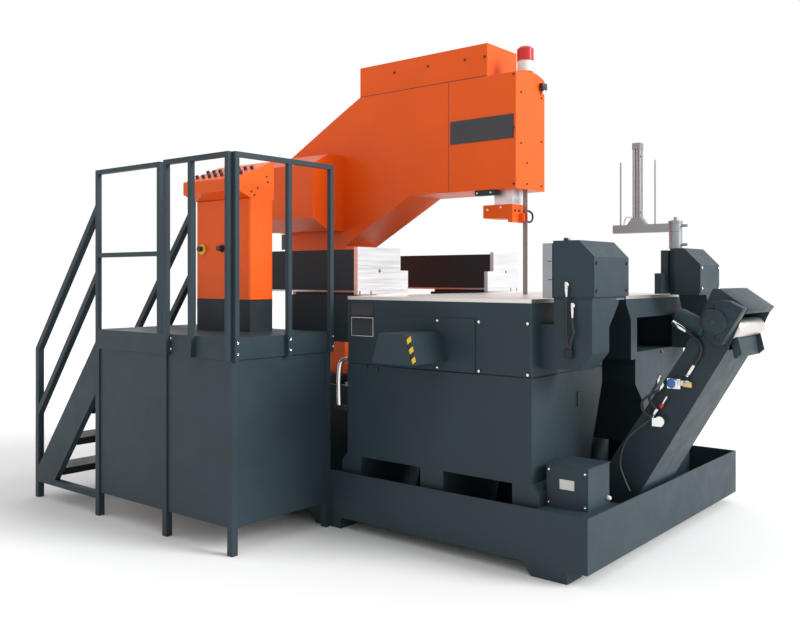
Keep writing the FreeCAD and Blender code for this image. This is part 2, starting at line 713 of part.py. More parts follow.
vise("front", front_vise, front_jaw_wide, front_slab, 0, jaw_lip, (0.05, 0.3))
vise("rear", rear_vise, rear_jaw_wide, rear_slab, jaw_lip, 0, (0.7, 0.95))

# Clamp units
clamp_low = table_top
clamp_high = table_top + jaw_lift + housing_height
housings = []
knees = []


def clamp_jaw(name, y, deep, thick, extra):
    spots = [y + deep * 0.25, y + deep * 0.75]
    middle = jaw_low + housing_height * 0.45
    plate = box("clamp plate", -clamp_face, thick - clamp_face, y, y + deep, jaw_low, jaw_low + housing_height - strip_drop)
    rods = [rod("clamp rod", "x", thick - clamp_face - 5, spot, middle, clamp_rod, clamp_rod_long) for spot in spots]
    node(join(name + "_clamp_jaw", [plate] + extra + rods))


def clamp(y, deep, left, right, chamfer_wide, chamfer_high, rod_end, recess):
    shape = [(left, clamp_low + band_thick), (right, clamp_low + band_thick), (right, clamp_high - chamfer_high),
             (right - chamfer_wide, clamp_high), (left, clamp_high)]
    housing = prism("clamp housing", "xz", shape, y, deep)
    spots = [y + deep * 0.25, y + deep * 0.75]
    middle = jaw_low + housing_height * 0.45
    tools = [rod("rod bore", "x", left - 5, spot, middle, clamp_rod + seat * 2, rod_end - left + 25) for spot in spots]
    if recess is not None:
        tools.append(box("housing recess", left - 5, left + recess, y - 5, y + recess * 0.7, clamp_low, clamp_high + 5))
    band = box("clamp band", left, right - knee_in, y + 6, y + deep - 6, clamp_low, clamp_low + band_thick)
    whole = join("clamp housing whole", [housing, band])
    housings.append(cut("clamp housing bored", whole, group("housing cuts", tools)))


def knee(y, deep, right, slope):
    left = base_right
    low_left = left + knee_recess
    shape = [(left, knee_bottom), (right - knee_foot, knee_bottom), (right, knee_bottom + knee_chamfer),
             (right, clamp_low), (low_left, clamp_low), (low_left, clamp_low - knee_recess_high),
             (left, clamp_low - knee_recess_high)]
    whole = prism("clamp knee whole", "xz", shape, y, deep)
    side = prism("knee side", "yz", slope, left - 20, right - left + 40)
    knees.append(cut("clamp knee", whole, side))


front_left = front_plate_thick + front_block_thick + strip_gap - clamp_face
front_rod_end = front_plate_thick - clamp_face - 5 + clamp_rod_long
clamp(clamp_front, clamp_depth, front_left, -housing_right, housing_chamfer, housing_chamfer, front_rod_end, None)
block_high = (housing_height - strip_drop) / 3
blocks = [box("clamp block", front_plate_thick - clamp_face, front_plate_thick + front_block_thick - clamp_face,
              clamp_front, clamp_front + clamp_depth, jaw_low + block_high * number + 3, jaw_low + block_high * (number + 1))
          for number in range(3)]
clamp_jaw("front", clamp_front, clamp_depth, front_plate_thick, blocks)
knee_back = clamp_front + knee_depth
knee_low = clamp_low - knee_slope_high
knee(clamp_front, knee_depth, -housing_right - knee_in,
     [(knee_back, clamp_low + 5), (knee_back - knee_slope, knee_low), (knee_back - knee_slope, knee_bottom - 20),
      (knee_back + 40, knee_bottom - 20), (knee_back + 40, clamp_low + 5)])
rear_left = rear_plate_thick + strip_gap - clamp_face
rear_rod_end = rear_plate_thick - clamp_face - 5 + clamp_rod_long
clamp(rear_clamp_front, rear_clamp_depth, rear_left, -rear_housing_right, rear_chamfer, rear_chamfer, rear_rod_end,
      rear_recess)
lip = box("clamp lip", -clamp_face, rear_plate_thick - clamp_face, rear_clamp_front - rear_lip, rear_clamp_front + 5,
          jaw_low, jaw_low + rear_lip_high)
clamp_jaw("rear", rear_clamp_front, rear_clamp_depth, rear_plate_thick, [lip])
rear_knee_top = rear_knee_front - knee_slope
knee(rear_knee_top, rear_back - rear_knee_top - 5, -rear_housing_right - knee_in,
     [(rear_knee_top, clamp_low + 5), (rear_knee_front, knee_low), (rear_knee_front, knee_bottom - 20),
      (rear_knee_top - 40, knee_bottom - 20), (rear_knee_top - 40, clamp_low + 5)])
node(group("clamp_housings", housings))
node(group("clamp_knees", knees))

# Hold-down post, arm, cylinder and pad
post_x = -post_across
post_low = clamp_high
post_top = post_low + post_rise
post = rod("post", "z", post_x, post_back, post_low, post_round, post_top - post_low)
pin = rod("post pin", "z", post_x, post_back, post_top, post_round - 30, press_arm + 20)
cap = rod("post cap", "z", post_x, post_back, post_top + press_arm + 2, post_round + 8, 14)
knob = rod("post knob", "z", post_x, post_back, post_top + press_arm + 16, 22, 26)
lever_x = post_x + post_round / 2 - 8
lever = rod("post lever", "x", lever_x, post_back, post_low + 26, lever_round, lever_long)
node(join("hold_down_post", [post, pin, cap, knob, lever]))
arm_low = post_top + 1
arm_bar = box("press arm bar", post_x - press_end, post_x, post_back - press_arm_wide / 2,
              post_back + press_arm_wide / 2, arm_low, arm_low + press_arm)
arm_ring = rod("press arm ring", "z", post_x, post_back, arm_low, post_round, press_arm)
arm_lever = rod("arm lever", "x", lever_x, post_back, arm_low + press_arm * 0.7, lever_round, lever_long)
arm_box = join("press arm body", [arm_bar, arm_ring, arm_lever])
arm_bore = rod("press arm bore", "z", post_x, post_back, arm_low - 5, post_round - 29, press_arm + 20)
arm_pocket = box("press arm recess", post_x - press_end + 12, post_x - press_reach + press_rod_gap / 2 + 25,
                 post_back - press_arm_wide / 2 + 10, post_back + press_arm_wide / 2 - 10,
                 arm_low - 5, arm_low + 30)
rod_x = [post_x - press_reach - press_rod_gap / 2, post_x - press_reach + press_rod_gap / 2]
cylinder_x = post_x - press_reach
arm_holes = [rod("rod hole", "z", x, post_back, arm_low, press_rod_round + seat * 2, press_arm + 20)
             for x in rod_x]
ram_hole = rod("ram hole", "z", cylinder_x, post_back, arm_low, ram_round + 12, press_arm + 20)
node(cut("hold_down_arm", arm_box, group("arm cuts", [arm_bore, arm_pocket, ram_hole] + arm_holes)))
arm_top = arm_low + press_arm
tube_part = rod("cylinder tube", "z", cylinder_x, post_back, arm_top, cylinder_round, cylinder_tall)
half = cylinder_round / 2
cap_part = box("cylinder cap", cylinder_x - half - 6, cylinder_x + half + 6, post_back - half - 6,
               post_back + half + 6, arm_top + cylinder_tall - 40, arm_top + cylinder_tall)
tie_rods = [rod("tie rod", "z", cylinder_x + half * a, post_back + half * b, arm_top + 20, 10, cylinder_tall - 30)
            for a in (-1, 1) for b in (-1, 1)]
foot_half = cylinder_foot / 2
neck_half = cylinder_neck / 2
foot_shape = [(cylinder_x - foot_half, arm_top), (cylinder_x + foot_half, arm_top),
              (cylinder_x + neck_half, arm_top + cylinder_foot_high), (cylinder_x - neck_half, arm_top + cylinder_foot_high)]
flange_part = prism("cylinder foot", "xz", foot_shape, post_back - press_arm_wide / 2 + 3, press_arm_wide - 6)
cylinder_whole = join("cylinder whole", [tube_part, cap_part, flange_part] + tie_rods)
ram_bore = rod("ram bore", "z", cylinder_x, post_back, arm_top - 5, ram_round + seat * 2, ram_long - press_arm + 35)
node(cut("hold_down_cylinder", cylinder_whole, ram_bore))
pad_plate = box("pad plate", post_x - press_end + 20, post_x - press_reach + press_rod_gap / 2 + 12,
                post_back - press_arm_wide / 2 + 16, post_back + press_arm_wide / 2 - 16,
                arm_low, arm_low + 20)
pad_rods = [rod("pad rod", "z", x, post_back, arm_low, press_rod_round, press_arm + press_rod_tall) for x in rod_x]
ram = rod("ram", "z", cylinder_x, post_back, arm_low, ram_round, ram_long)
node(join("hold_down_pad", [pad_plate, ram] + pad_rods))

# Saw frame: head, door, top cover, neck, column
head_x = -head_right
head_top = head_bottom + head_height
door_x = head_x - head_length
cover_x = head_x - cover_right
frame_back = frame_front + frame_wide
head_main = prism("head main", "xz", rect(door_x, cover_x, head_bottom, head_top), frame_front, frame_wide)
end_top = head_top - crown_drop
head_end = box("head end", cover_x, head_x, frame_front, frame_back, head_bottom, end_top)
crown_whole = rod("crown whole", "x", cover_x, blade_line, head_top + crown_rise - crown_round, crown_round * 2, cover_right)
crown_low = head_top - crown_round * 2 - 50
crown_high = head_top + crown_rise + 50
beyond = crown_round + 200
crown_cuts = [box("crown front", cover_x - 10, head_x + 10, blade_line - beyond, frame_front, crown_low, crown_high),
              box("crown back", cover_x - 10, head_x + 10, frame_back, blade_line + beyond, crown_low, crown_high),
              box("crown under", cover_x - 10, head_x + 10, frame_front - 10, frame_back + 10, crown_low, end_top)]
crown = cut("head crown", crown_whole, group("crown cuts", crown_cuts))
head_block = join("head block", [head_main, head_end, crown])
guide_x = head_x - guide_left
guide_y = guide_front
guide_way = box("guide way", guide_x - seat, guide_x + guide_post + seat, guide_y - seat,
                guide_y + guide_post_deep + seat, head_bottom - 10, head_bottom + guide_in + guide_up)
node(cut("saw_head", head_block, guide_way))
under_x = head_x - head_left
back_x = head_x - head_back
column_x = -column_right
column_far = -column_left
neck_shape = [(under_x, head_bottom), (door_x, head_bottom), (door_x, head_top), (back_x, head_top),
              (column_x, shoulder_seam), (column_x, neck_low)]
node(prism("saw_neck", "xz", neck_shape, frame_front, frame_wide))
column_shape = [(column_far + column_step, column_low), (column_x, column_low), (column_x, shoulder_seam),
                (column_x - shoulder_out, shoulder_mid), (column_far + shoulder_in, column_top + shoulder_high),
                (column_far, column_top), (column_far, neck_low), (column_far + column_step, neck_low - 40)]
node(prism("saw_column", "xz", column_shape, frame_front, frame_wide))
node(box("saw_top_cover", back_x, cover_x, frame_front, frame_back, head_top, head_top + cover_height))

side_top = side_cover_low + side_cover_high
side_right = column_x - 9
side_straight = box("side cover straight", column_far, side_right, frame_front - side_cover_out, frame_front,
                    side_cover_low, side_top)
tip_front = frame_front - side_cover_out - side_cover_tip
tip_shape = [(frame_front - side_cover_out, side_cover_low), (frame_front - side_cover_out, side_top),
             (tip_front, side_top - side_cover_taper), (tip_front, side_cover_low + side_cover_taper)]
tip = prism("side cover tip", "yz", tip_shape, column_far + 40, column_left - column_right - 9 - 40)
node(join("saw_side_cover", [side_straight, tip]))

# Lower wheel box and arm
wheel_x = -wheel_right
wheel_left = wheel_x - wheel_length
wheel_y = blade_line - 10 - wheel_wide / 2
node(box("saw_wheel_box", wheel_left, wheel_x, wheel_y, wheel_y + wheel_wide, wheel_low, wheel_top))
arm_side = column_x + 70
arm_bottom = wheel_low + 120
arm_shape = [(column_far, arm_bottom), (wheel_left, arm_bottom), (wheel_left, wheel_top), (arm_side, wheel_top),
             (arm_side, column_low - carriage_thick), (column_far, column_low - carriage_thick)]
node(prism("saw_lower_arm", "xz", arm_shape, wheel_y, wheel_wide))

# Carriage, runners, beams and linear rails
track_top = beam_top + track_high
runner_top = column_low - carriage_thick
carriage = box("carriage plate", column_far - 60, column_x + 60, beam_front - 2, beam_front + beam_pitch + beam_wide + 2,
               runner_top, column_low)
runners = []
beams = []
tracks = []
for y in (beam_front, beam_front + beam_pitch):
    mid = y + beam_wide / 2
    beams.append(box("beam", -beam_right - beam_length, -beam_right, y, y + beam_wide, tray_floor, beam_top))
    tracks.append(box("track", -beam_right - beam_length, -beam_right, mid - track_wide / 2, mid + track_wide / 2,
                      beam_top, track_top))
    for x in (column_far - 40, column_x + 40 - runner_length):
        block = box("runner", x, x + runner_length, mid - runner_wide / 2, mid + runner_wide / 2,
                    beam_top + 8, runner_top)
        groove = box("runner groove", x - 5, x + runner_length + 5, mid - track_wide / 2 - seat, mid + track_wide / 2 + seat,
                     beam_top - 5, track_top + seat)
        runners.append(cut("runner cut", block, groove))
node(join("saw_carriage", [carriage] + runners))
node(group("saw_beams", beams))
node(group("saw_rails", tracks))

# Blade, guide and beacon
blade_x = head_x - blade_in - blade_wide
node(box("saw_blade", blade_x, blade_x + blade_wide, blade_line - blade_thick / 2, blade_line + blade_thick / 2,
         wheel_top, head_bottom))
guide_top = head_bottom + guide_in
node(box("guide_post", guide_x, guide_x + guide_post, guide_y, guide_y + guide_post_deep,
         guide_block_low + guide_block_high, guide_top))
block_x = guide_x - guide_block_left
block_end = block_x + guide_block_wide
block_top = guide_block_low + guide_block_high
block_toe = block_end - guide_block_toe
block_shape = [(block_x, guide_block_low + guide_block_thin), (block_toe, guide_block_low + guide_block_thin * 0.7),
               (block_toe, guide_block_low), (block_end, guide_block_low), (block_end, block_top), (block_x, block_top)]
guide_parts = [prism("guide block body", "xz", block_shape, guide_y - 6, guide_block_deep)]
for y in (blade_line - guide_pad_gap - guide_pad, blade_line + guide_pad_gap):
    guide_parts.append(box("guide pad", block_end - 14, block_end - 14 + guide_pad_long, y, y + guide_pad,
                           guide_block_low + 8, guide_block_low + 8 + guide_pad_high))
node(join("guide_block", guide_parts))
beacon_x = head_x - beacon_in
beacon_low = head_top + crown_rise
node(rod("beacon_base", "z", beacon_x, blade_line, beacon_low, beacon_round - 6, beacon_foot))
beacon_lens = rod("beacon lens", "z", beacon_x, blade_line, beacon_low + beacon_foot, beacon_round, beacon_tall - beacon_cap)
beacon_crown = taper("beacon crown", "z", beacon_x, blade_line, beacon_low + beacon_foot + beacon_tall - beacon_cap,
                     beacon_round, beacon_round - 30, beacon_cap)
node(join("beacon", [beacon_lens, beacon_crown]))

# Conveyor
run_x = -run_low_x
low_z = tray_rim + run_lift
top_x = run_x + run_run
top_z = low_z + run_rise
bend_x = run_x - run_bend
mouth_x = top_x - mouth_run
mouth_z = top_z + mouth_rise
back_x2 = top_x - back_run
back_z = top_z - back_fall
knee_x = run_x - run_deep
trough_shape = [(-run_left, tray_floor), (bend_x, tray_floor), (run_x, low_z), (top_x, top_z),
                (mouth_x, mouth_z), (back_x2, back_z), (knee_x, run_level + run_knee),
                (knee_x - run_knee / 2, run_level), (-run_left, run_level)]
trough = prism("conveyor trough", "xz", trough_shape, run_front, run_wide)
bed_cut = box("conveyor bed", run_wall - run_left, knee_x - run_knee / 2, run_front + run_wall,
              run_front + run_wide - run_wall, run_level - belt_drop, run_level + 50)
node(cut("conveyor_trough", trough, bed_cut))
belt_y = run_front + run_wall + belt_gap
belt_wide = run_wide - run_wall * 2 - belt_gap * 2
belt_low = run_level - belt_drop
belt_end = knee_x - run_knee / 2 - belt_gap
belt = [box("belt", run_wall + belt_gap - run_left, belt_end, belt_y, belt_y + belt_wide,
            belt_low, belt_low + belt_thick)]
cleat_x = run_wall + belt_gap - run_left + cleat_pitch / 2
for number in range(int(cleat_count.value)):
    x = cleat_x + cleat_pitch * number
    belt.append(box("cleat", x, x + cleat_thick, belt_y, belt_y + belt_wide, belt_low + belt_thick,
                    belt_low + belt_thick + cleat_high))
node(join("conveyor_belt", belt))
front_x = top_x + hood_step
front_z = top_z + mouth_rise * (2 / 3)
hood_shape = [(back_x2, back_z), (mouth_x, mouth_z), (front_x, front_z), (front_x + chute_wide, front_z),
              (hood_right, hood_top - hood_fall), (top_x - hood_flat, hood_top),
              (top_x - hood_flat - hood_cap, hood_top)]
node(prism("conveyor_hood", "xz", hood_shape, run_front + sheet_thick, run_wide - sheet_thick * 2))
chute_low = front_z - chute_drop
chute = [(front_x, front_z), (front_x, chute_low), (front_x + chute_wide / 2, chute_low),
         (front_x + chute_wide * 0.9, front_z)]
node(prism("conveyor_chute", "xz", chute, run_front + chute_inset, run_wide - chute_inset * 2))
gear_shape = [(gear_x + gear_long * a, gear_z + gear_long * b) for a, b in
              ((-0.53, -0.83), (-0.06, -0.93), (1, 0.27), (0.9, 0.64), (0.2, 0.97), (-0.2, 0.83), (-0.86, -0.27))]
gear_front = run_front - gear_deep
gear = prism("gearbox body", "xz", gear_shape, gear_front, gear_deep)
gear_cap = rod("gearbox cap", "y", gear_x, gear_front - 18, gear_z, gear_boss, 18)
motor_y = run_front - motor_round / 2 - motor_rim
motor_turn = FreeCAD.Rotation(FreeCAD.Vector(0, 1, 0), -motor_lean.value)
motor = rod("motor", "z", gear_x, motor_y, gear_z, motor_round, motor_long)
motor_neck = rod("motor neck", "z", gear_x, motor_y, gear_z, motor_round + motor_rim * 2, motor_long - motor_out)
for thing in (motor, motor_neck):
    thing.Placement = FreeCAD.Placement(FreeCAD.Vector(), motor_turn)
    place(thing, gear_x, motor_y, gear_z)
node(join("conveyor_drive", [gear, gear_cap, motor, motor_neck]))

# Valve set on the conveyor side: block, knob, lever, gauge
valve_y = run_front - valve_deep
valve = [box("valve block", valve_x - 40, valve_x + 30, valve_y, run_front, valve_z - 30, valve_z + 22),
         rod("valve knob", "y", valve_x + 4, valve_y - 26, valve_z, 40, 26),
         rod("valve port", "y", valve_x + 62, valve_y + 12, valve_z - 2, 34, valve_deep - 12),
         box("valve bar", valve_x + 25, valve_x + 60, valve_y + 20, run_front, valve_z - 14, valve_z + 12)]
gauge = [rod("gauge dial", "y", valve_x - 80, valve_y - 6, valve_z - 209, 52, 22),
         box("gauge stem", valve_x - 128, valve_x - 74, valve_y + 10, run_front, valve_z - 240, valve_z - 196)]
node(group("valve_set", [join("valve body", valve), join("gauge body", gauge)]))

# Junction box on the tray corner
jx = -junction_in
shelf = box("junction shelf", jx - junction_wide, -tray_wall, tray_wall, junction_back + junction_deep + 20,
            tray_rim - 8, tray_rim)
case = box("junction case", jx - junction_wide, jx, junction_back, junction_back + junction_deep,
           tray_rim, tray_rim + junction_high)
node(join("junction_box", [shelf, case]))

# Platform: posts, bands, deck, panels
px1 = -deck_right
px0 = -deck_left
py0 = -deck_deep
band_low = deck_top - deck_band
posts = []
for x in (px0, px0 + bay_left, px1 - tube):
    for y in (py0, -tube):
        posts.append(box("post", x, x + tube, y, y + tube, 0, band_low))
node(group("platform_posts", posts))
deck_frame = box("deck band", px0, px1, py0, 0, band_low, deck_top - 6)
deck_hole = box("deck inside", px0 + tube, px1 - tube, py0 + tube, -tube, band_low - 5, deck_top)
deck_ring = cut("deck ring", deck_frame, deck_hole)
deck_sheet = box("deck sheet", px0, px1, py0, 0, deck_top - 6, deck_top)
node(join("platform_deck", [deck_ring, deck_sheet]))
panels = [
    box("panel", px0 + tube, px0 + bay_left, py0 + 10, py0 + 10 + panel_thick, panel_low, band_low),
    box("panel", px0 + bay_left + tube, px1 - tube, py0 + 10, py0 + 10 + panel_thick, panel_low, band_low),
    box("panel", px1 - 10 - panel_thick, px1 - 10, py0 + tube, -tube, panel_low, band_low),
]
node(group("platform_panels", panels))

# Guard rails
def guard(label, spots, y, z0, z1):
    end = spots[-1] + rail_tube
    parts = [box("rail", spots[0], end, y, y + rail_tube, z1 - rail_tube, z1)]
    for x in spots:
        parts.append(box("post", x, x + rail_tube, y, y + rail_tube, z0, z1 - rail_tube))
    return join(label, parts)


bay_end = px0 + rail_bay
low_guard = guard("rail bay one", [px0, bay_end - rail_tube], py0, deck_top, rail_top)
low_bar = box("middle rail", px0 + rail_tube, bay_end - rail_tube, py0, py0 + rail_tube, mid_rail - rail_tube, mid_rail)
rail_a = join("rail bay", [low_guard, low_bar])
rail_b = guard("rail bay two", [px0 + bay_two, px0 + bay_post, px1 - rail_tube], py0 - rail_tube, band_low, rail_top)
rear_post = box("rear post", px0, px0 + rail_tube, -rail_tube, 0, deck_top, rail_top)
node(group("rails_front", [rail_a, rail_b, rear_post]))
side_parts = [box("rail", px1, px1 + rail_tube, py0, 0, rail_top - rail_tube, rail_top)]
for y in (py0, py0 + side_post, -rail_tube):
    side_parts.append(box("post", px1, px1 + rail_tube, y, y + rail_tube, band_low, rail_top - rail_tube))
node(join("rail_side", side_parts))

# Stairs
sx0 = px0 - stair_run
side_shape = [(sx0 + tube, panel_low), (sx0 + tube, panel_low - tube), (px0, panel_low - tube), (px0, panel_low),
              (sx0 + stair_low_run, panel_low), (px0, deck_top - stair_low_end), (px0, deck_top - stair_edge_top),
              (sx0 + tube, stair_edge)]
stringers = []
for y in (py0, -tube):
    stringers.append(prism("stringer", "xz", side_shape, y, tube))
node(group("stair_sides", stringers))
treads = []
for number in range(4):
    z = tread_rise * (number + 1)
    x = sx0 + tread_start + tread_pitch * number
    treads.append(box("tread", x, x + tread_deep, py0 + tube, -tube, z - tread_thick, z))
node(group("stair_treads", treads))
rails = []
for y in (py0, -tube):
    drop = rail_tube * 2.2
    ends = rail_top - rail_end
    low_ends = rail_top - rail_two_end
    low_foot = stair_foot - rail_two_foot
    up = [(sx0, stair_foot - drop), (sx0, stair_foot), (px0, ends), (px0, ends - drop)]
    down = [(sx0 + tube, low_foot - drop), (sx0 + tube, low_foot), (px0, low_ends), (px0, low_ends - drop)]
    parts = [prism("hand rail", "xz", up, y, tube), prism("hand rail", "xz", down, y, tube),
             box("stair post", sx0, sx0 + tube, y, y + tube, 0, stair_foot)]
    rails.append(join("stair rail", parts))
node(group("stair_rails", rails))

# Console
cx0 = -console_left
cx1 = cx0 + console_wide
cy0 = -console_front
cy1 = cy0 + console_deep
plinth_top = deck_top + plinth_high
cabinet_top = plinth_top + cabinet_high
node(box("console_plinth", cx0 + plinth_in, cx1 - plinth_in, cy0 + plinth_in, cy1 - plinth_in, deck_top, plinth_top))
cabinet = prism("console_cabinet", "xy", rect(cx0, cx1, cy0, cy1), plinth_top, cabinet_high)
node(rounded(cabinet, lambda edge, whole: edge.BoundBox.ZLength > 1, corner_round))
lip_low = cabinet_top + desk_under
lip_top = lip_low + desk_front_high
desk_shape = [(cy0 + 14, cabinet_top), (cy1, cabinet_top), (cy1, cabinet_top + desk_rise),
              (cy0 - desk_lip, lip_top), (cy0 - desk_lip, lip_low)]
node(prism("console_desk", "yz", desk_shape, cx0, console_wide))
buttons = []
rise = desk_rise.value - desk_under.value - desk_front_high.value
lean = math.degrees(math.atan2(rise, (console_deep + desk_lip).value))
button_step = (console_wide - button_edge * 2) / 7
for row, count in ((0.25, 8), (0.55, 8)):
    for number in range(count):
        top = rod("button", "z", cx0 + button_edge + button_step * number,
                  cy0 - desk_lip + (console_deep + desk_lip) * row,
                  lip_top + (desk_rise - desk_under - desk_front_high) * row + seat, button_round, button_high)
        top.Placement = FreeCAD.Placement(top.Placement.Base, FreeCAD.Rotation(FreeCAD.Vector(1, 0, 0), lean))
        buttons.append(top)
switches = []
for x in (cx0 + switch_left, cx0 + switch_left + switch_pitch):
    plate = rod("switch plate", "y", x, cy0 - 3, plinth_top + switch_up, switch_round * 1.5, 3)
    switches.append(join("switch", [plate, rod("switch head", "y", x, cy0 - 34, plinth_top + switch_up, switch_round, 34)]))
node(group("console_buttons", buttons + switches))

doc.recompute()

for thing in doc.Objects:
    if "Invalid" in thing.State or "Error" in thing.State:
        raise ValueError("not valid: %s %s" % (thing.Label, thing.State))

os.makedirs("parts", exist_ok=True)
for thing in nodes:
    shape = thing.Shape
    if shape.isNull() or not shape.isValid() or not shape.Solids:
        raise ValueError("bad shape: %s" % thing.Label)
    shape.exportStep("parts/%s.step" % thing.Label)
print("%d nodes" % len(nodes))
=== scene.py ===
import json
import math
import bpy
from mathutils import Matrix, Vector


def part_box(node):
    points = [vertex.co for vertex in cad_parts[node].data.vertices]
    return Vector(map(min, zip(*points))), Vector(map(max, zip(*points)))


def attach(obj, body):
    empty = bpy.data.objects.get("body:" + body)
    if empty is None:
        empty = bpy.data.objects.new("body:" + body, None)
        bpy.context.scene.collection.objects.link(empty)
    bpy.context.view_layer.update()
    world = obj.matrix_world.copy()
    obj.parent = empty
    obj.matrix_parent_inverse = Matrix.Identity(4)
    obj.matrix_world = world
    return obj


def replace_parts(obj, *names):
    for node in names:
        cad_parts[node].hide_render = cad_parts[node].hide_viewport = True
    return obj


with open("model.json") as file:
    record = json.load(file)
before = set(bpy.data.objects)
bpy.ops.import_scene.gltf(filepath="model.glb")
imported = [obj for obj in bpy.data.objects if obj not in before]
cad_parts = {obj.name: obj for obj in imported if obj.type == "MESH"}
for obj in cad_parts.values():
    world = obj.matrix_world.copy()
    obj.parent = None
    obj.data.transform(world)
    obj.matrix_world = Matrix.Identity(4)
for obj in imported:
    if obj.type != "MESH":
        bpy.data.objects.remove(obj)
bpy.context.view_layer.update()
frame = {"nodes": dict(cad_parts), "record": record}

nodes = frame["nodes"]


# Camera, standing in front of the machine's right corner at eye height

CAMERA_PLACE = (3.5486, -4.4681, 1.5)
CAMERA_TURN = math.radians(39.2)


def add_camera():
    bpy.ops.object.camera_add(location=CAMERA_PLACE, rotation=(math.radians(90), 0, CAMERA_TURN))
    camera = bpy.context.active_object
    camera.name = "photo_camera"
    camera.data.lens = 39.15
    camera.data.sensor_width = 36
    camera.data.shift_y = -0.0419
    bpy.context.scene.camera = camera
    bpy.context.scene.view_settings.view_transform = "Standard"


add_camera()


# Helpers for modelling

def select_only(*things):
    """Leaves only the given objects selected, the first one active."""
    bpy.ops.object.select_all(action="DESELECT")
    for thing in things:
        thing.select_set(True)
    bpy.context.view_layer.objects.active = things[0]


def settle(piece):
    """Writes the place of an object into its mesh."""
    select_only(piece)
    bpy.ops.object.transform_apply(location=True, rotation=True, scale=True)
    return piece


def finish_piece(piece, name, body, material):
    """Names a piece and puts it on its body with its finish."""
    piece.name = name
    piece.data.name = name
    piece.data.materials.clear()
    piece.data.materials.append(material)
    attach(piece, body)
    return piece


def bevel(piece, width, segments=2, angle=30):
    """Softens the sharp edges of a piece."""
    select_only(piece)
    edge = piece.modifiers.new("Bevel", "BEVEL")
    edge.width = width
    edge.segments = segments
    edge.limit_method = "ANGLE"
    edge.angle_limit = math.radians(angle)
    bpy.ops.object.modifier_apply(modifier=edge.name)
    bpy.ops.object.shade_smooth_by_angle(angle=math.radians(35))
    return piece


def block(name, low, high, body, material, edge=0.002):
    """A block between two corners with softened edges."""
    bpy.ops.object.select_all(action="DESELECT")
    low = Vector(low)
    high = Vector(high)
    bpy.ops.mesh.primitive_cube_add(size=1, location=(low + high) / 2)
    piece = bpy.context.active_object
    piece.scale = high - low
    settle(piece)
    bevel(piece, edge)
    return finish_piece(piece, name, body, material)


def turned(name, start, end, radius, body, material, edge=0.0015, sides=32):
    """A round piece between two points with softened rims."""
    bpy.ops.object.select_all(action="DESELECT")
    start = Vector(start)
    end = Vector(end)
    run = end - start
    bpy.ops.mesh.primitive_cylinder_add(vertices=sides, radius=radius, depth=run.length,
                                        location=(start + end) / 2,
                                        rotation=run.to_track_quat("Z", "Y").to_euler())
    piece = settle(bpy.context.active_object)
    bevel(piece, edge)
    return finish_piece(piece, name, body, material)


def joined(name, pieces):
    """Several pieces of one finish as one object."""
    select_only(*pieces)
    bpy.ops.object.join()
    piece = bpy.context.active_object
    piece.name = name
    piece.data.name = name
    return piece


def hose(name, points, radius, body, material):
    """A smooth hose through the middle of its control points."""
    curve = bpy.data.curves.new(name, "CURVE")
    curve.dimensions = "3D"
    curve.bevel_depth = radius
    curve.bevel_resolution = 4
    curve.resolution_u = 8
    curve.use_fill_caps = True
    spline = curve.splines.new("NURBS")
    spline.points.add(len(points) - 1)
    for point, place in zip(spline.points, points):
        point.co = (*place, 1)
    spline.order_u = 3
    spline.use_endpoint_u = True
    piece = bpy.data.objects.new(name, curve)
    bpy.context.scene.collection.objects.link(piece)
    return finish_piece(piece, name, body, material)


def push_faces(piece, direction, border, depth):
    """Insets the faces that look along a direction and moves them in or out."""
    direction = Vector(direction).normalized()
    select_only(piece)
    for face in piece.data.polygons:
        face.select = face.normal.dot(direction) > 0.98 and face.area > border * border
    for edge in piece.data.edges:
        edge.select = False
    bpy.ops.object.mode_set(mode="EDIT")
    bpy.ops.mesh.select_mode(type="FACE")
    bpy.ops.mesh.inset(thickness=border, depth=depth)
    bpy.ops.object.mode_set(mode="OBJECT")
    return piece


def bolt(name, place, direction, radius, body, material):
    """A hexagon socket screw head whose seat is at the given place."""
    bpy.ops.object.select_all(action="DESELECT")
    direction = Vector(direction).normalized()
    high = radius * 0.8
    bpy.ops.mesh.primitive_cylinder_add(vertices=24, radius=radius, depth=high,
                                        location=Vector(place) + direction * (high / 2 + 0.0003),
                                        rotation=direction.to_track_quat("Z", "Y").to_euler())
    piece = settle(bpy.context.active_object)
    push_faces(piece, direction, radius * 0.42, -high * 0.5)
    bevel(piece, radius * 0.08, 1)
    return finish_piece(piece, name, body, material)


def copies(name, piece, moves, body, material):
    """Copies of a modelled piece, each with its own mesh, joined into one object."""
    made = [piece]
    for move in moves:
        other = piece.copy()
        other.data = piece.data.copy()
        bpy.context.scene.collection.objects.link(other)
        other.location = Vector(move)
        settle(other)
        made.append(other)
    whole = joined(name, made) if len(made) > 1 else piece
    return finish_piece(whole, name, body, material)


def bolts(name, places, direction, radius, body, material):
    """One screw head at each place, as one object."""
    first = Vector(places[0])
    piece = bolt(name, first, direction, radius, body, material)
    return copies(name, piece, [Vector(place) - first for place in places[1:]], body, material)


def fitting(name, start, end, radius, body, material):
    """A hose fitting: hexagon nut with a narrower collar at its far end."""
    start = Vector(start)
    end = Vector(end)
    run = end - start
    bpy.ops.object.select_all(action="DESELECT")
    bpy.ops.mesh.primitive_cylinder_add(vertices=6, radius=radius, depth=run.length * 0.55,
                                        location=start + run * 0.275,
                                        rotation=run.to_track_quat("Z", "Y").to_euler())
    piece = settle(bpy.context.active_object)
    push_faces(piece, run, radius * 0.25, run.length * 0.45)
    bevel(piece, radius * 0.08, 1)
    return finish_piece(piece, name, body, material)


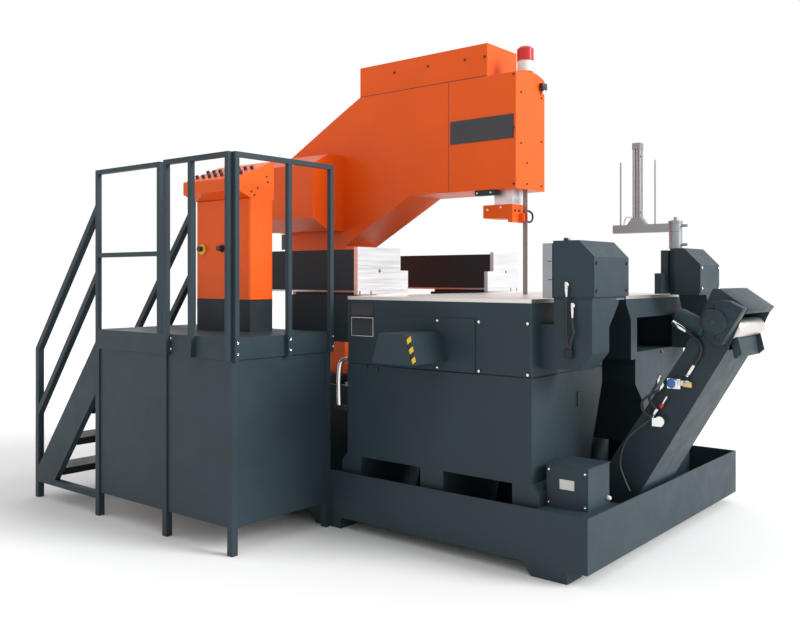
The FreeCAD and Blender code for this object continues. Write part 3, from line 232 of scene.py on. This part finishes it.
def knob(name, start, end, radius, body, material):
    """A round knob with a raised cap."""
    start = Vector(start)
    end = Vector(end)
    run = end - start
    bpy.ops.object.select_all(action="DESELECT")
    bpy.ops.mesh.primitive_cylinder_add(vertices=32, radius=radius, depth=run.length * 0.8,
                                        location=start + run * 0.4,
                                        rotation=run.to_track_quat("Z", "Y").to_euler())
    piece = settle(bpy.context.active_object)
    push_faces(piece, run, radius * 0.3, run.length * 0.2)
    bevel(piece, radius * 0.12, 2)
    return finish_piece(piece, name, body, material)


def plate(name, low, high, face, border, material, body="base"):
    """A thin plate with a slightly sunk field."""
    piece = block(name, low, high, body, material, 0.0008)
    return push_faces(piece, face, border, -0.0008)


def strip(name, start, end, wide, thick, body, material):
    """A flat strip on a face that looks to the front, along a slanting edge."""
    start = Vector(start)
    end = Vector(end)
    run = end - start
    bpy.ops.object.select_all(action="DESELECT")
    lean = math.atan2(run.x, run.z)
    bpy.ops.mesh.primitive_cube_add(size=1, location=(start + end) / 2, rotation=(0, lean, 0))
    piece = bpy.context.active_object
    piece.scale = (wide, thick, run.length)
    settle(piece)
    bevel(piece, thick * 0.3, 1)
    return finish_piece(piece, name, body, material)


def profile(name, points, front, back, body, material, edge=0.0015):
    """A plate with the outline of the points, x and z, between two depths."""
    curve = bpy.data.curves.new(name, "CURVE")
    curve.dimensions = "2D"
    curve.fill_mode = "BOTH"
    curve.extrude = (back - front) / 2
    spline = curve.splines.new("POLY")
    spline.points.add(len(points) - 1)
    for point, (x, z) in zip(spline.points, points):
        point.co = (x, z, 0, 1)
    spline.use_cyclic_u = True
    flat = bpy.data.objects.new(name, curve)
    bpy.context.scene.collection.objects.link(flat)
    flat.rotation_euler = (math.radians(90), 0, 0)
    flat.location = (0, (front + back) / 2, 0)
    select_only(flat)
    bpy.ops.object.convert(target="MESH")
    piece = settle(bpy.context.active_object)
    select_only(piece)
    bpy.ops.object.mode_set(mode="EDIT")
    bpy.ops.mesh.select_all(action="SELECT")
    bpy.ops.mesh.remove_doubles(threshold=0.00002)
    bpy.ops.mesh.dissolve_limited(angle_limit=math.radians(1))
    bpy.ops.mesh.normals_make_consistent(inside=False)
    bpy.ops.object.mode_set(mode="OBJECT")
    bevel(piece, edge)
    return finish_piece(piece, name, body, material)


tray_low, tray_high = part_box("coolant_tray")


def at(x, y, z):
    """A place in millimetres from the tray's front right corner on the floor."""
    return Vector((tray_high.x + x / 1000, tray_low.y + y / 1000, z / 1000))


# Materials

def new_material(name):
    """A material with its node tree and shader."""
    material = bpy.data.materials.new(name)
    material.use_nodes = True
    tree = material.node_tree
    return material, tree, tree.nodes["Principled BSDF"]


def node(tree, kind, **values):
    """A shader node with its settings."""
    made = tree.nodes.new(kind)
    for key, value in values.items():
        if key.startswith("in_"):
            made.inputs[key[3:].replace("_", " ")].default_value = value
        else:
            setattr(made, key, value)
    return made


def object_noise(tree, scale, detail=4.0, stretch=(1, 1, 1)):
    """Noise in the coordinates of the object."""
    place = node(tree, "ShaderNodeTexCoord")
    turn = node(tree, "ShaderNodeMapping")
    turn.inputs["Scale"].default_value = stretch
    noise = node(tree, "ShaderNodeTexNoise", in_Scale=scale, in_Detail=detail)
    tree.links.new(place.outputs["Object"], turn.inputs["Vector"])
    tree.links.new(turn.outputs["Vector"], noise.inputs["Vector"])
    return noise


def ramp_between(tree, source, low, high, first, second):
    """A ramp from one colour to another."""
    ramp = node(tree, "ShaderNodeValToRGB")
    ramp.color_ramp.elements[0].position = low
    ramp.color_ramp.elements[1].position = high
    ramp.color_ramp.elements[0].color = (*first, 1)
    ramp.color_ramp.elements[1].color = (*second, 1)
    tree.links.new(source, ramp.inputs["Fac"])
    return ramp


def bump(tree, shader, source, strength, distance):
    """A fine relief on the surface."""
    made = node(tree, "ShaderNodeBump", in_Strength=strength, in_Distance=distance)
    tree.links.new(source, made.inputs["Height"])
    tree.links.new(made.outputs["Normal"], shader.inputs["Normal"])
    return made


def paint(name, color, spread, roughness, coat=0.0, grain=0.15):
    """Sprayed paint: slight mottling, fine orange peel and duller patches."""
    material, tree, shader = new_material(name)
    mottle = object_noise(tree, 2.2)
    darker = tuple(c * (1 - spread) for c in color)
    lighter = tuple(min(1, c * (1 + spread)) for c in color)
    ramp = ramp_between(tree, mottle.outputs["Fac"], 0.3, 0.7, darker, lighter)
    tree.links.new(ramp.outputs["Color"], shader.inputs["Base Color"])
    dull = object_noise(tree, 9.0)
    rough = ramp_between(tree, dull.outputs["Fac"], 0.3, 0.75, (roughness - 0.06,) * 3,
                         (roughness + 0.08,) * 3)
    tree.links.new(rough.outputs["Color"], shader.inputs["Roughness"])
    peel = object_noise(tree, 420.0, 2.0)
    bump(tree, shader, peel.outputs["Fac"], grain, 0.0006)
    shader.inputs["Specular IOR Level"].default_value = 0.22
    shader.inputs["Coat Weight"].default_value = coat
    shader.inputs["Coat Roughness"].default_value = 0.12
    return material


def steel(name, color, roughness, stretch, scale=30.0, strength=0.1):
    """Machined steel with fine marks along one direction."""
    material, tree, shader = new_material(name)
    shader.inputs["Metallic"].default_value = 1.0
    marks = object_noise(tree, scale, 6.0, stretch)
    darker = tuple(c * 0.92 for c in color)
    ramp = ramp_between(tree, marks.outputs["Fac"], 0.3, 0.7, darker, color)
    tree.links.new(ramp.outputs["Color"], shader.inputs["Base Color"])
    rough = ramp_between(tree, marks.outputs["Fac"], 0.25, 0.8, (roughness - 0.05,) * 3,
                         (roughness + 0.12,) * 3)
    tree.links.new(rough.outputs["Color"], shader.inputs["Roughness"])
    bump(tree, shader, marks.outputs["Fac"], strength, 0.0005)
    return material


def plastic(name, color, roughness, spread=0.06):
    """Moulded plastic or rubber with faint mottling."""
    material, tree, shader = new_material(name)
    mottle = object_noise(tree, 40.0)
    ramp = ramp_between(tree, mottle.outputs["Fac"], 0.3, 0.7, tuple(c * (1 - spread) for c in color),
                        color)
    tree.links.new(ramp.outputs["Color"], shader.inputs["Base Color"])
    shader.inputs["Roughness"].default_value = roughness
    return material


def striped(name, first, second, pitch, turn):
    """Slanting warning stripes in two colours."""
    material, tree, shader = new_material(name)
    place = node(tree, "ShaderNodeTexCoord")
    mapping = node(tree, "ShaderNodeMapping")
    mapping.inputs["Rotation"].default_value = turn
    mapping.inputs["Scale"].default_value = (1 / pitch, 1 / pitch, 1 / pitch)
    bands = node(tree, "ShaderNodeTexWave", wave_type="BANDS", bands_direction="Z", in_Scale=0.3142)
    tree.links.new(place.outputs["Object"], mapping.inputs["Vector"])
    tree.links.new(mapping.outputs["Vector"], bands.inputs["Vector"])
    ramp = ramp_between(tree, bands.outputs["Fac"], 0.49, 0.51, first, second)
    tree.links.new(ramp.outputs["Color"], shader.inputs["Base Color"])
    shader.inputs["Roughness"].default_value = 0.5
    return material


slate = paint("slate paint", (0.026, 0.043, 0.053), 0.08, 0.46)
slate_dark = paint("dark slate paint", (0.017, 0.026, 0.033), 0.08, 0.48)
orange = paint("orange paint", (0.84, 0.105, 0.006), 0.04, 0.40, 0.06, 0.08)
silver = steel("ground steel", (0.80, 0.80, 0.82), 0.34, (1, 0.15, 5), 14.0, 0.02)
table_steel = steel("table steel", (0.74, 0.71, 0.68), 0.34, (0.2, 5, 1))
rail_steel = steel("rail steel", (0.70, 0.71, 0.72), 0.25, (0.1, 5, 5))
grey_steel = steel("grey steel", (0.32, 0.34, 0.36), 0.40, (3, 3, 0.2))
chrome = steel("plated steel", (0.82, 0.82, 0.82), 0.14, (4, 4, 4), 60.0, 0.05)
brass = steel("brass fitting", (0.66, 0.50, 0.26), 0.28, (4, 4, 4), 60.0, 0.05)
rubber = plastic("hose rubber", (0.018, 0.018, 0.020), 0.5)
black = plastic("black plastic", (0.022, 0.022, 0.024), 0.38)
white = plastic("white plastic", (0.72, 0.72, 0.70), 0.35)
red = plastic("red plastic", (0.55, 0.012, 0.010), 0.22)
yellow = plastic("yellow plastic", (0.80, 0.52, 0.02), 0.35)
blue = plastic("blue knob", (0.05, 0.16, 0.42), 0.30)
label = plastic("bare plate", (0.028, 0.030, 0.034), 0.30)
pale_label = plastic("pale plate", (0.62, 0.62, 0.60), 0.40)
blade_steel = steel("blade steel", (0.30, 0.27, 0.24), 0.38, (1, 1, 8), 12.0, 0.05)
hazard = striped("warning stripes", (0.015, 0.015, 0.015), (0.82, 0.56, 0.02), 0.05,
                 (0, math.radians(38), 0))

FINISH = {
    "slate_paint": slate,
    "orange_paint": orange,
    "silver_steel": silver,
    "table_steel": table_steel,
    "bright_chrome": chrome,
    "dark_plastic": black,
    "red_lens": red,
}
for item in frame["record"]["subparts"]:
    piece = nodes[item["node"]]
    piece.data.materials.clear()
    piece.data.materials.append(FINISH[item["material_slot"]])


def refinish(name, material):
    """Gives one solid another finish than its slot has."""
    nodes[name].data.materials.clear()
    nodes[name].data.materials.append(material)


OTHER_FINISH = {
    slate: ("rear_clamp_jaw",),
    slate_dark: ("saw_lower_arm", "saw_carriage", "saw_beams", "saw_wheel_box", "stair_treads",
                 "console_plinth"),
    grey_steel: ("hold_down_arm", "hold_down_cylinder", "hold_down_post", "hold_down_pad",
                 "front_clamp_jaw"),
    rail_steel: ("saw_rails",),
    blade_steel: ("saw_blade",),
    white: ("beacon_base",),
}
for finish, names in OTHER_FINISH.items():
    for name in names:
        refinish(name, finish)


# Saw frame: bare head plate, screws, seam, black strip of painted shade in the gap under the top cover,
# connector and bracket

FRONT = (0, -1, 0)
RIGHT = (1, 0, 0)
UP = (0, 0, 1)

plate("head_plate", at(-1510, 965.5, 2390), at(-1012, 969.7, 2545), FRONT, 0.008, label, "saw_frame")
bolts("head_front_screws", [at(-1012, 970, 2796), at(-1012, 970, 2457), at(-1012, 970, 2096)], FRONT,
      0.007, "saw_frame", black)
bolts("head_end_screws", [at(-997, 1033, 2362), at(-997, 1107, 2241), at(-997, 1107, 2104),
      at(-997, 1290, 2104), at(-997, 1290, 2400), at(-997, 1290, 2690), at(-997, 1033, 2690)], RIGHT,
      0.007, "saw_frame", black)
bolts("top_cover_screws", [at(-1391, 970, 2946), at(-1234, 970, 2942), at(-1700, 970, 2950),
      at(-2000, 970, 2950)], FRONT, 0.008, "saw_frame", black)
block("head_seam", at(-1527, 969.2, 2075), at(-1523.5, 969.8, 2812), "saw_frame", black,
      0.0001)
# Black strip painted as the shade in the gap along the top cover's lower edge.
block("top_cover_gap_painted_shade", at(-2320, 968.9, 2816), at(-1218, 969.7, 2820), "saw_frame",
      black, 0.0001)
block("head_connector", at(-996.7, 1262, 2742), at(-966, 1318, 2786), "saw_frame", black,
      0.004)
fitting("head_connector_gland", at(-981, 1290, 2742), at(-981, 1290, 2712), 0.012, "saw_frame",
        chrome)
block("head_bracket", at(-1320, 976, 2036), at(-1165, 1038, 2069.7), "saw_frame", slate,
      0.004)
bolts("head_bracket_screws", [at(-1296, 976, 2052), at(-1190, 976, 2052)], FRONT, 0.006, "saw_frame",
      chrome)
block("column_cable_box", at(-3190, 990, 1716), at(-3100.3, 1120, 1840), "saw_frame",
      black, 0.005)
bolts("side_cover_screws", [at(x, 804, z) for x in (-2560, -2980) for z in (1900, 2120, 2340)], FRONT,
      0.008, "saw_frame", black)


# Blade guide: screws, coolant hose and nozzle

bolts("guide_block_screws", [at(-1066, 1070, 1934), at(-1066, 1118, 1934), at(-1066, 1180, 1934)], RIGHT,
      0.008, "blade_guide", black)
bolts("guide_front_screws", [at(-1153, 1040, 1957), at(-1255, 1040, 1945)], FRONT, 0.008, "blade_guide",
      chrome)
fitting("guide_hose_port", at(-1085, 1201.3, 1945), at(-1085, 1232, 1945), 0.012, "blade_guide",
        brass)
fitting("guide_nozzle", at(-1075, 1201.3, 1885), at(-1075, 1226, 1876), 0.010, "blade_guide",
        brass)
hose("guide_hose", [at(-1085, 1228, 1945), at(-1082, 1270, 1945), at(-1078, 1318, 1925),
     at(-1076, 1312, 1880), at(-1075, 1262, 1862), at(-1075, 1222, 1877)], 0.007, "blade_guide",
     rubber)


# Front clamp: hydraulic fittings and hoses, knobs on top, screws

for number, (x, top) in enumerate(((-178, 1475), (-145, 1370))):
    low = top - 76
    knob("clamp_port_" + str(number), at(x, 139.7, top - 14), at(x, 118, top - 14), 0.013, "base",
         chrome)
    fitting("clamp_fitting_" + str(number), at(x, 120, top), at(x, 120, low), 0.010, "base",
            chrome)
    hose("clamp_hose_" + str(number), [at(x, 120, low + 6), at(x, 119, low - 60),
         at(x + 14 * number, 116, 1230), at(-168 + 10 * number, 118, 1165),
         at(-168 + 10 * number, 124, 1128)], 0.0065, "base", rubber)
block("clamp_hose_anchor", at(-190, 112, 1092), at(-146, 139.7, 1136), "base", slate_dark,
      0.004)
knob("clamp_knob_left", at(-250, 250, 1679.3), at(-250, 250, 1704), 0.013, "base", black)
knob("clamp_knob_right", at(-222, 250, 1679.3), at(-222, 250, 1703), 0.010, "base",
     chrome)
bolts("front_housing_screws", [at(-35, y, z) for y in (165, 510) for z in (1431, 1570)], RIGHT, 0.008,
      "base", black)
bolts("rear_housing_screws", [at(-66, y, z) for y in (1683, 1982) for z in (1431, 1560)], RIGHT, 0.008,
      "base", chrome)


# Hold-down: cylinder ports and the line over the arm

fitting("press_port_high", at(-501, 1750, 2314), at(-478, 1750, 2314), 0.010, "hold_down",
        chrome)
fitting("press_port_low", at(-501, 1750, 1940), at(-482, 1750, 1940), 0.010, "hold_down",
        chrome)
hose("press_line", [at(-607, 1716, 1848), at(-600, 1714, 1895), at(-566, 1714, 1908),
     at(-545, 1722, 1896)], 0.005, "hold_down", chrome)


# Table: service plate screws, bare plates, slots drawn as painted shade, casting pad and conduit

bolts("service_screws", [at(-926, 44, 1262), at(-652, 44, 1262), at(-354, 44, 1262), at(-354, 44, 1001),
      at(-652, 44, 1001), at(-926, 44, 1001)], FRONT, 0.008, "base", chrome)
plate("machine_plate_high", at(-1572, 46.5, 1272), at(-1400, 49.7, 1342), FRONT, 0.006, label)
plate("machine_plate_low", at(-1572, 46.5, 1150), at(-1400, 49.7, 1262), FRONT, 0.003, pale_label)
plate("machine_plate_field", at(-1568, 45.8, 1154), at(-1404, 46.9, 1258), FRONT, 0.004, label)
# Black strips painted as the shade inside the two lifting slots.
for number, (left, right) in enumerate(((-595, -552), (-496, -460))):
    block("lifting_slot_painted_shade_" + str(number), at(left, 48.6, 972), at(right, 49.7, 980), "base",
          black, 0.0002)
bolts("base_screws", [at(-1450, 50, 968), at(-1365, 50, 966)], FRONT, 0.009, "base",
      black)
plate("casting_pad", at(-337.7, 537, 788), at(-333, 607, 864), RIGHT, 0.006, slate)
knob("bed_lamp", at(-337.7, 1696, 1012), at(-326, 1696, 1012), 0.009, "base", red)
hose("cable_conduit", [at(-1612, 66, 1008), at(-1640, 60, 1006), at(-1672, 58, 985), at(-1684, 58, 900),
     at(-1684, 58, 800), at(-1680, 58, 720)], 0.014, "base", chrome)
block("conduit_clamp", at(-1704, 44, 700), at(-1605.3, 74, 726), "base", slate_dark, 0.003)


# Guard box: warning stripes on its slanting edge

strip("guard_edge_stripes", at(-892, -260.9, 1194), at(-852, -260.9, 1046), 0.030, 0.0012, "base",
      hazard)


# Conveyor: hoses, fittings, knobs and gauge on its front side

fitting("conveyor_fitting_high", at(151, 664, 1262), at(226, 664, 1216), 0.014, "base",
        chrome)
hose("conveyor_loop", [at(222, 664, 1219), at(270, 664, 1192), at(306, 664, 1150), at(302, 664, 1098),
     at(280, 664, 1064), at(266, 664, 1042)], 0.009, "base", rubber)
fitting("conveyor_fitting_low", at(228, 664, 982), at(268, 664, 1044), 0.013, "base",
        chrome)
knob("valve_wheel", at(167, 634, 946), at(167, 604, 946), 0.026, "base", blue)
block("valve_manifold", at(214, 640, 926), at(262, 680.7, 956), "base", brass, 0.004)
turned("valve_rod", at(128, 650, 872), at(100, 650, 824), 0.006, "base", chrome)
knob("valve_handle", at(103, 650, 830), at(90, 650, 806), 0.011, "base", red)
fitting("valve_fitting_high", at(92, 652, 980), at(72, 652, 930), 0.011, "base", chrome)
fitting("valve_fitting_low", at(110, 652, 938), at(82, 652, 894), 0.011, "base", chrome)
hose("valve_hose_high", [at(74, 652, 934), at(46, 640, 880), at(34, 632, 850), at(52, 636, 818),
     at(72, 650, 800)], 0.007, "base", rubber)
hose("valve_hose_low", [at(84, 652, 898), at(20, 630, 862), at(-8, 622, 820), at(8, 628, 770),
     at(46, 648, 752)], 0.007, "base", rubber)
fitting("gauge_fitting", at(74, 650, 800), at(46, 650, 750), 0.011, "base", chrome)
knob("gauge_face", at(95, 655, 737), at(95, 648, 737), 0.020, "base", white)
hose("coolant_hose", [at(40, 640, 740), at(-20, 600, 690), at(-80, 580, 620), at(-112, 580, 500),
     at(-90, 590, 420), at(-60, 600, 352)], 0.0065, "base", rubber)
# Gearbox and motor on the conveyor slope

SLOPE_RISE = 772
SLOPE_RUN = 453
turn = math.atan2(SLOPE_RISE, SLOPE_RUN)


def along(x, y, a, b):
    """A place on the gearbox: a along the slope and b across it, from its middle."""
    return at(x + a * math.cos(turn) - b * math.sin(turn), y,
              1272 + a * math.sin(turn) + b * math.cos(turn))


def gear_outline(points):
    """Places of an outline given along and across the slope."""
    return [(place.x, place.z) for place in (along(425, 0, a, b) for a, b in points)]


gear_front = at(0, 600, 0).y
gear_back = at(0, 680.7, 0).y
drive = [
    profile("gear_case", gear_outline([(-116, -20), (-100, -58), (116, -58), (112, 20), (95, 60),
                                       (60, 95), (-40, 95),
            (-98, 60)]), gear_front + 0.012, gear_back, "base", slate, 0.004),
    profile("gear_cover", gear_outline([(-98, -16), (-88, -46), (100, -46), (98, 16), (84, 50), (54, 82),
                                        (-36, 82),
            (-84, 50)]), gear_front + 0.004, gear_front + 0.013, "base", slate, 0.003),
    knob("gear_boss", at(391, 606, 1273), at(391, 582, 1273), 0.066, "base", slate),
    turned("motor_case", at(330, 640, 1240), at(200, 640, 1301), 0.040, "base", slate,
           0.006, 40),
    turned("motor_flange", at(340, 640, 1235), at(316, 640, 1247), 0.049, "base", slate,
           0.003, 40),
    turned("motor_cap", at(204, 640, 1299), at(188, 640, 1307), 0.034, "base", slate,
           0.005, 40),
]
for start in (-60, -26, 8, 42):
    drive.append(profile("gear_rib", gear_outline([(start, 60), (start + 6, 60),
                 (start + 6, 99 - abs(start) * 0.35), (start, 99 - abs(start) * 0.35)]),
                 gear_front + 0.006, gear_back - 0.010, "base", slate, 0.001))
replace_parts(joined("conveyor_drive_detail", drive), "conveyor_drive")
bolts("gear_cover_screws", [along(425, 604, a, b) for a, b in ((-84, -38), (-20, -38), (40, -38),
      (92, -38), (90, 12), (74, 48), (46, 74), (-30, 74), (-74, 44), (-88, -10))], FRONT, 0.0075, "base",
      slate)
bolts("gear_boss_screws", [at(391 + 54 * math.cos(a), 587, 1273 + 54 * math.sin(a)) for a in
      (0.4, 1.45, 2.5, 3.54, 4.59, 5.64)], FRONT, 0.006, "base", slate)
# Black disc painted as the shade inside the bore of the gear boss.
turned("gear_bore_painted_shade", at(391, 581.6, 1273), at(391, 579, 1273), 0.013, "base", black, 0.001)


# Conveyor head: open hood with cheeks, roof and lip, the belt drum and the chute

cheek = [(191, 1086), (345, 1256), (431, 1126), (440, 1152), (515, 1318), (535, 1340), (390, 1440),
          (356, 1440)]
cheek_points = [(at(x, 0, z).x, at(x, 0, z).z) for x, z in cheek]
face = [profile("front_cheek", cheek_points, at(0, 687, 0).y, at(0, 693, 0).y, "base",
                slate), profile("rear_cheek", cheek_points, at(0, 1115, 0).y, at(0, 1121, 0).y, "base",
                slate)]


def span(name, points, material, edge=0.001):
    """A sheet from cheek to cheek."""
    places = [(at(x, 0, z).x, at(x, 0, z).z) for x, z in points]
    return profile(name, places, at(0, 692, 0).y, at(0, 1116, 0).y, "base", material, edge)


face += [
    span("roof_flat", [(356, 1434), (356, 1440), (390, 1440), (388, 1434)], slate),
    span("roof_slope", [(388, 1434), (390, 1440), (535, 1340), (530, 1336)], slate),
    span("roof_lip", [(530, 1337), (535, 1340), (516, 1313), (511, 1316)], slate),
    span("roof_back", [(191, 1086), (356, 1440), (362, 1438), (197, 1084)], slate),
]
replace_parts(joined("conveyor_hood_detail", face), "conveyor_hood")
chute = [profile("chute_plate", [(at(x, 0, z).x, at(x, 0, z).z) for x, z in
         ((446, 1184), (452, 1184), (466, 1085), (460, 1085))], at(0, 722, 0).y, at(0, 1086, 0).y, "base",
         slate)]
for y in (716, 1086):
    chute.append(profile("chute_side", [(at(x, 0, z).x, at(x, 0, z).z) for x, z in
                 ((432, 1186), (470, 1203), (493, 1110), (466, 1085), (454, 1085))], at(0, y, 0).y,
                 at(0, y + 6, 0).y, "base", slate))
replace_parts(joined("conveyor_chute_detail", chute), "conveyor_chute")
turned("belt_drum", at(440, 700, 1235), at(440, 1108, 1235), 0.050, "base", table_steel,
       0.004, 40)
turned("drum_shaft", at(440, 693.3, 1235), at(440, 1114.7, 1235), 0.018, "base",
       table_steel)


# Platform: screws at the feet of the guard rails

bolts("guard_screws", [at(x, -758, z) for x in (-2290, -2228, -2062, -1744) for z in (1150, 1088)], FRONT,
      0.007, "base", chrome)
bolts("guard_side_screws", [at(-1672, y, z) for y in (-744, -357, -14) for z in (1146, 1086)], RIGHT,
      0.007, "base", chrome)


# Console: yellow ring of the stop button and side screws

knob("stop_ring", at(-2467, -353.3, 1672), at(-2467, -362, 1672), 0.034, "base", yellow)
bolts("console_side_screws", [at(-2025, y, z) for y, z in ((-218, 2108), (-207, 2076), (-291, 2034),
      (-340, 2010), (-316, 1990))], RIGHT, 0.006, "base", black)


# Junction box: lid, bare plate and cable gland

lid = block("junction_lid", at(-291, 110, 544.3), at(-51, 352, 552), "base", slate, 0.002)
push_faces(lid, UP, 0.02, 0.002)
plate("junction_plate", at(-212, 110.5, 432), at(-130, 113.7, 482), FRONT, 0.004, pale_label)
fitting("junction_gland", at(-54.7, 322, 372), at(-34, 322, 372), 0.013, "base", white)
bolts("junction_screws", [at(x, 114, z) for x in (-272, -70) for z in (360, 524)], FRONT, 0.006, "base",
      chrome)


# Floor, backdrop and light

FLOOR_SIZE = 60
SKY_STRENGTH = 0.75
KEY_STRENGTH = 3.2
KEY_SPREAD = math.radians(28)
KEY_PATH = (-0.80, -0.28, -0.45)


def add_studio():
    """A white floor and backdrop with one wide soft light from the right."""
    floor_material, tree, shader = new_material("floor")
    shader.inputs["Base Color"].default_value = (0.95, 0.95, 0.95, 1)
    shader.inputs["Roughness"].default_value = 0.9
    bpy.ops.object.select_all(action="DESELECT")
    bpy.ops.mesh.primitive_plane_add(size=FLOOR_SIZE, location=(0, 0, 0))
    floor = settle(bpy.context.active_object)
    floor.name = "floor"
    floor.data.materials.append(floor_material)
    world = bpy.data.worlds.new("studio")
    bpy.context.scene.world = world
    world.use_nodes = True
    tree = world.node_tree
    back = tree.nodes["Background"]
    back.inputs["Color"].default_value = (1, 1, 1, 1)
    back.inputs["Strength"].default_value = SKY_STRENGTH
    seen = node(tree, "ShaderNodeBackground")
    seen.inputs["Color"].default_value = (1, 1, 1, 1)
    seen.inputs["Strength"].default_value = 1.0
    path = node(tree, "ShaderNodeLightPath")
    either = node(tree, "ShaderNodeMath", operation="MAXIMUM")
    mix = node(tree, "ShaderNodeMixShader")
    tree.links.new(path.outputs["Is Camera Ray"], either.inputs[0])
    tree.links.new(path.outputs["Is Glossy Ray"], either.inputs[1])
    tree.links.new(either.outputs[0], mix.inputs["Fac"])
    tree.links.new(back.outputs[0], mix.inputs[1])
    tree.links.new(seen.outputs[0], mix.inputs[2])
    tree.links.new(mix.outputs[0], tree.nodes["World Output"].inputs["Surface"])

    bpy.ops.object.light_add(type="SUN", location=(6, -3, 6))
    key = bpy.context.active_object
    key.name = "key"
    key.data.energy = KEY_STRENGTH
    key.data.angle = KEY_SPREAD
    key.rotation_euler = Vector(KEY_PATH).to_track_quat("-Z", "Y").to_euler()


add_studio()
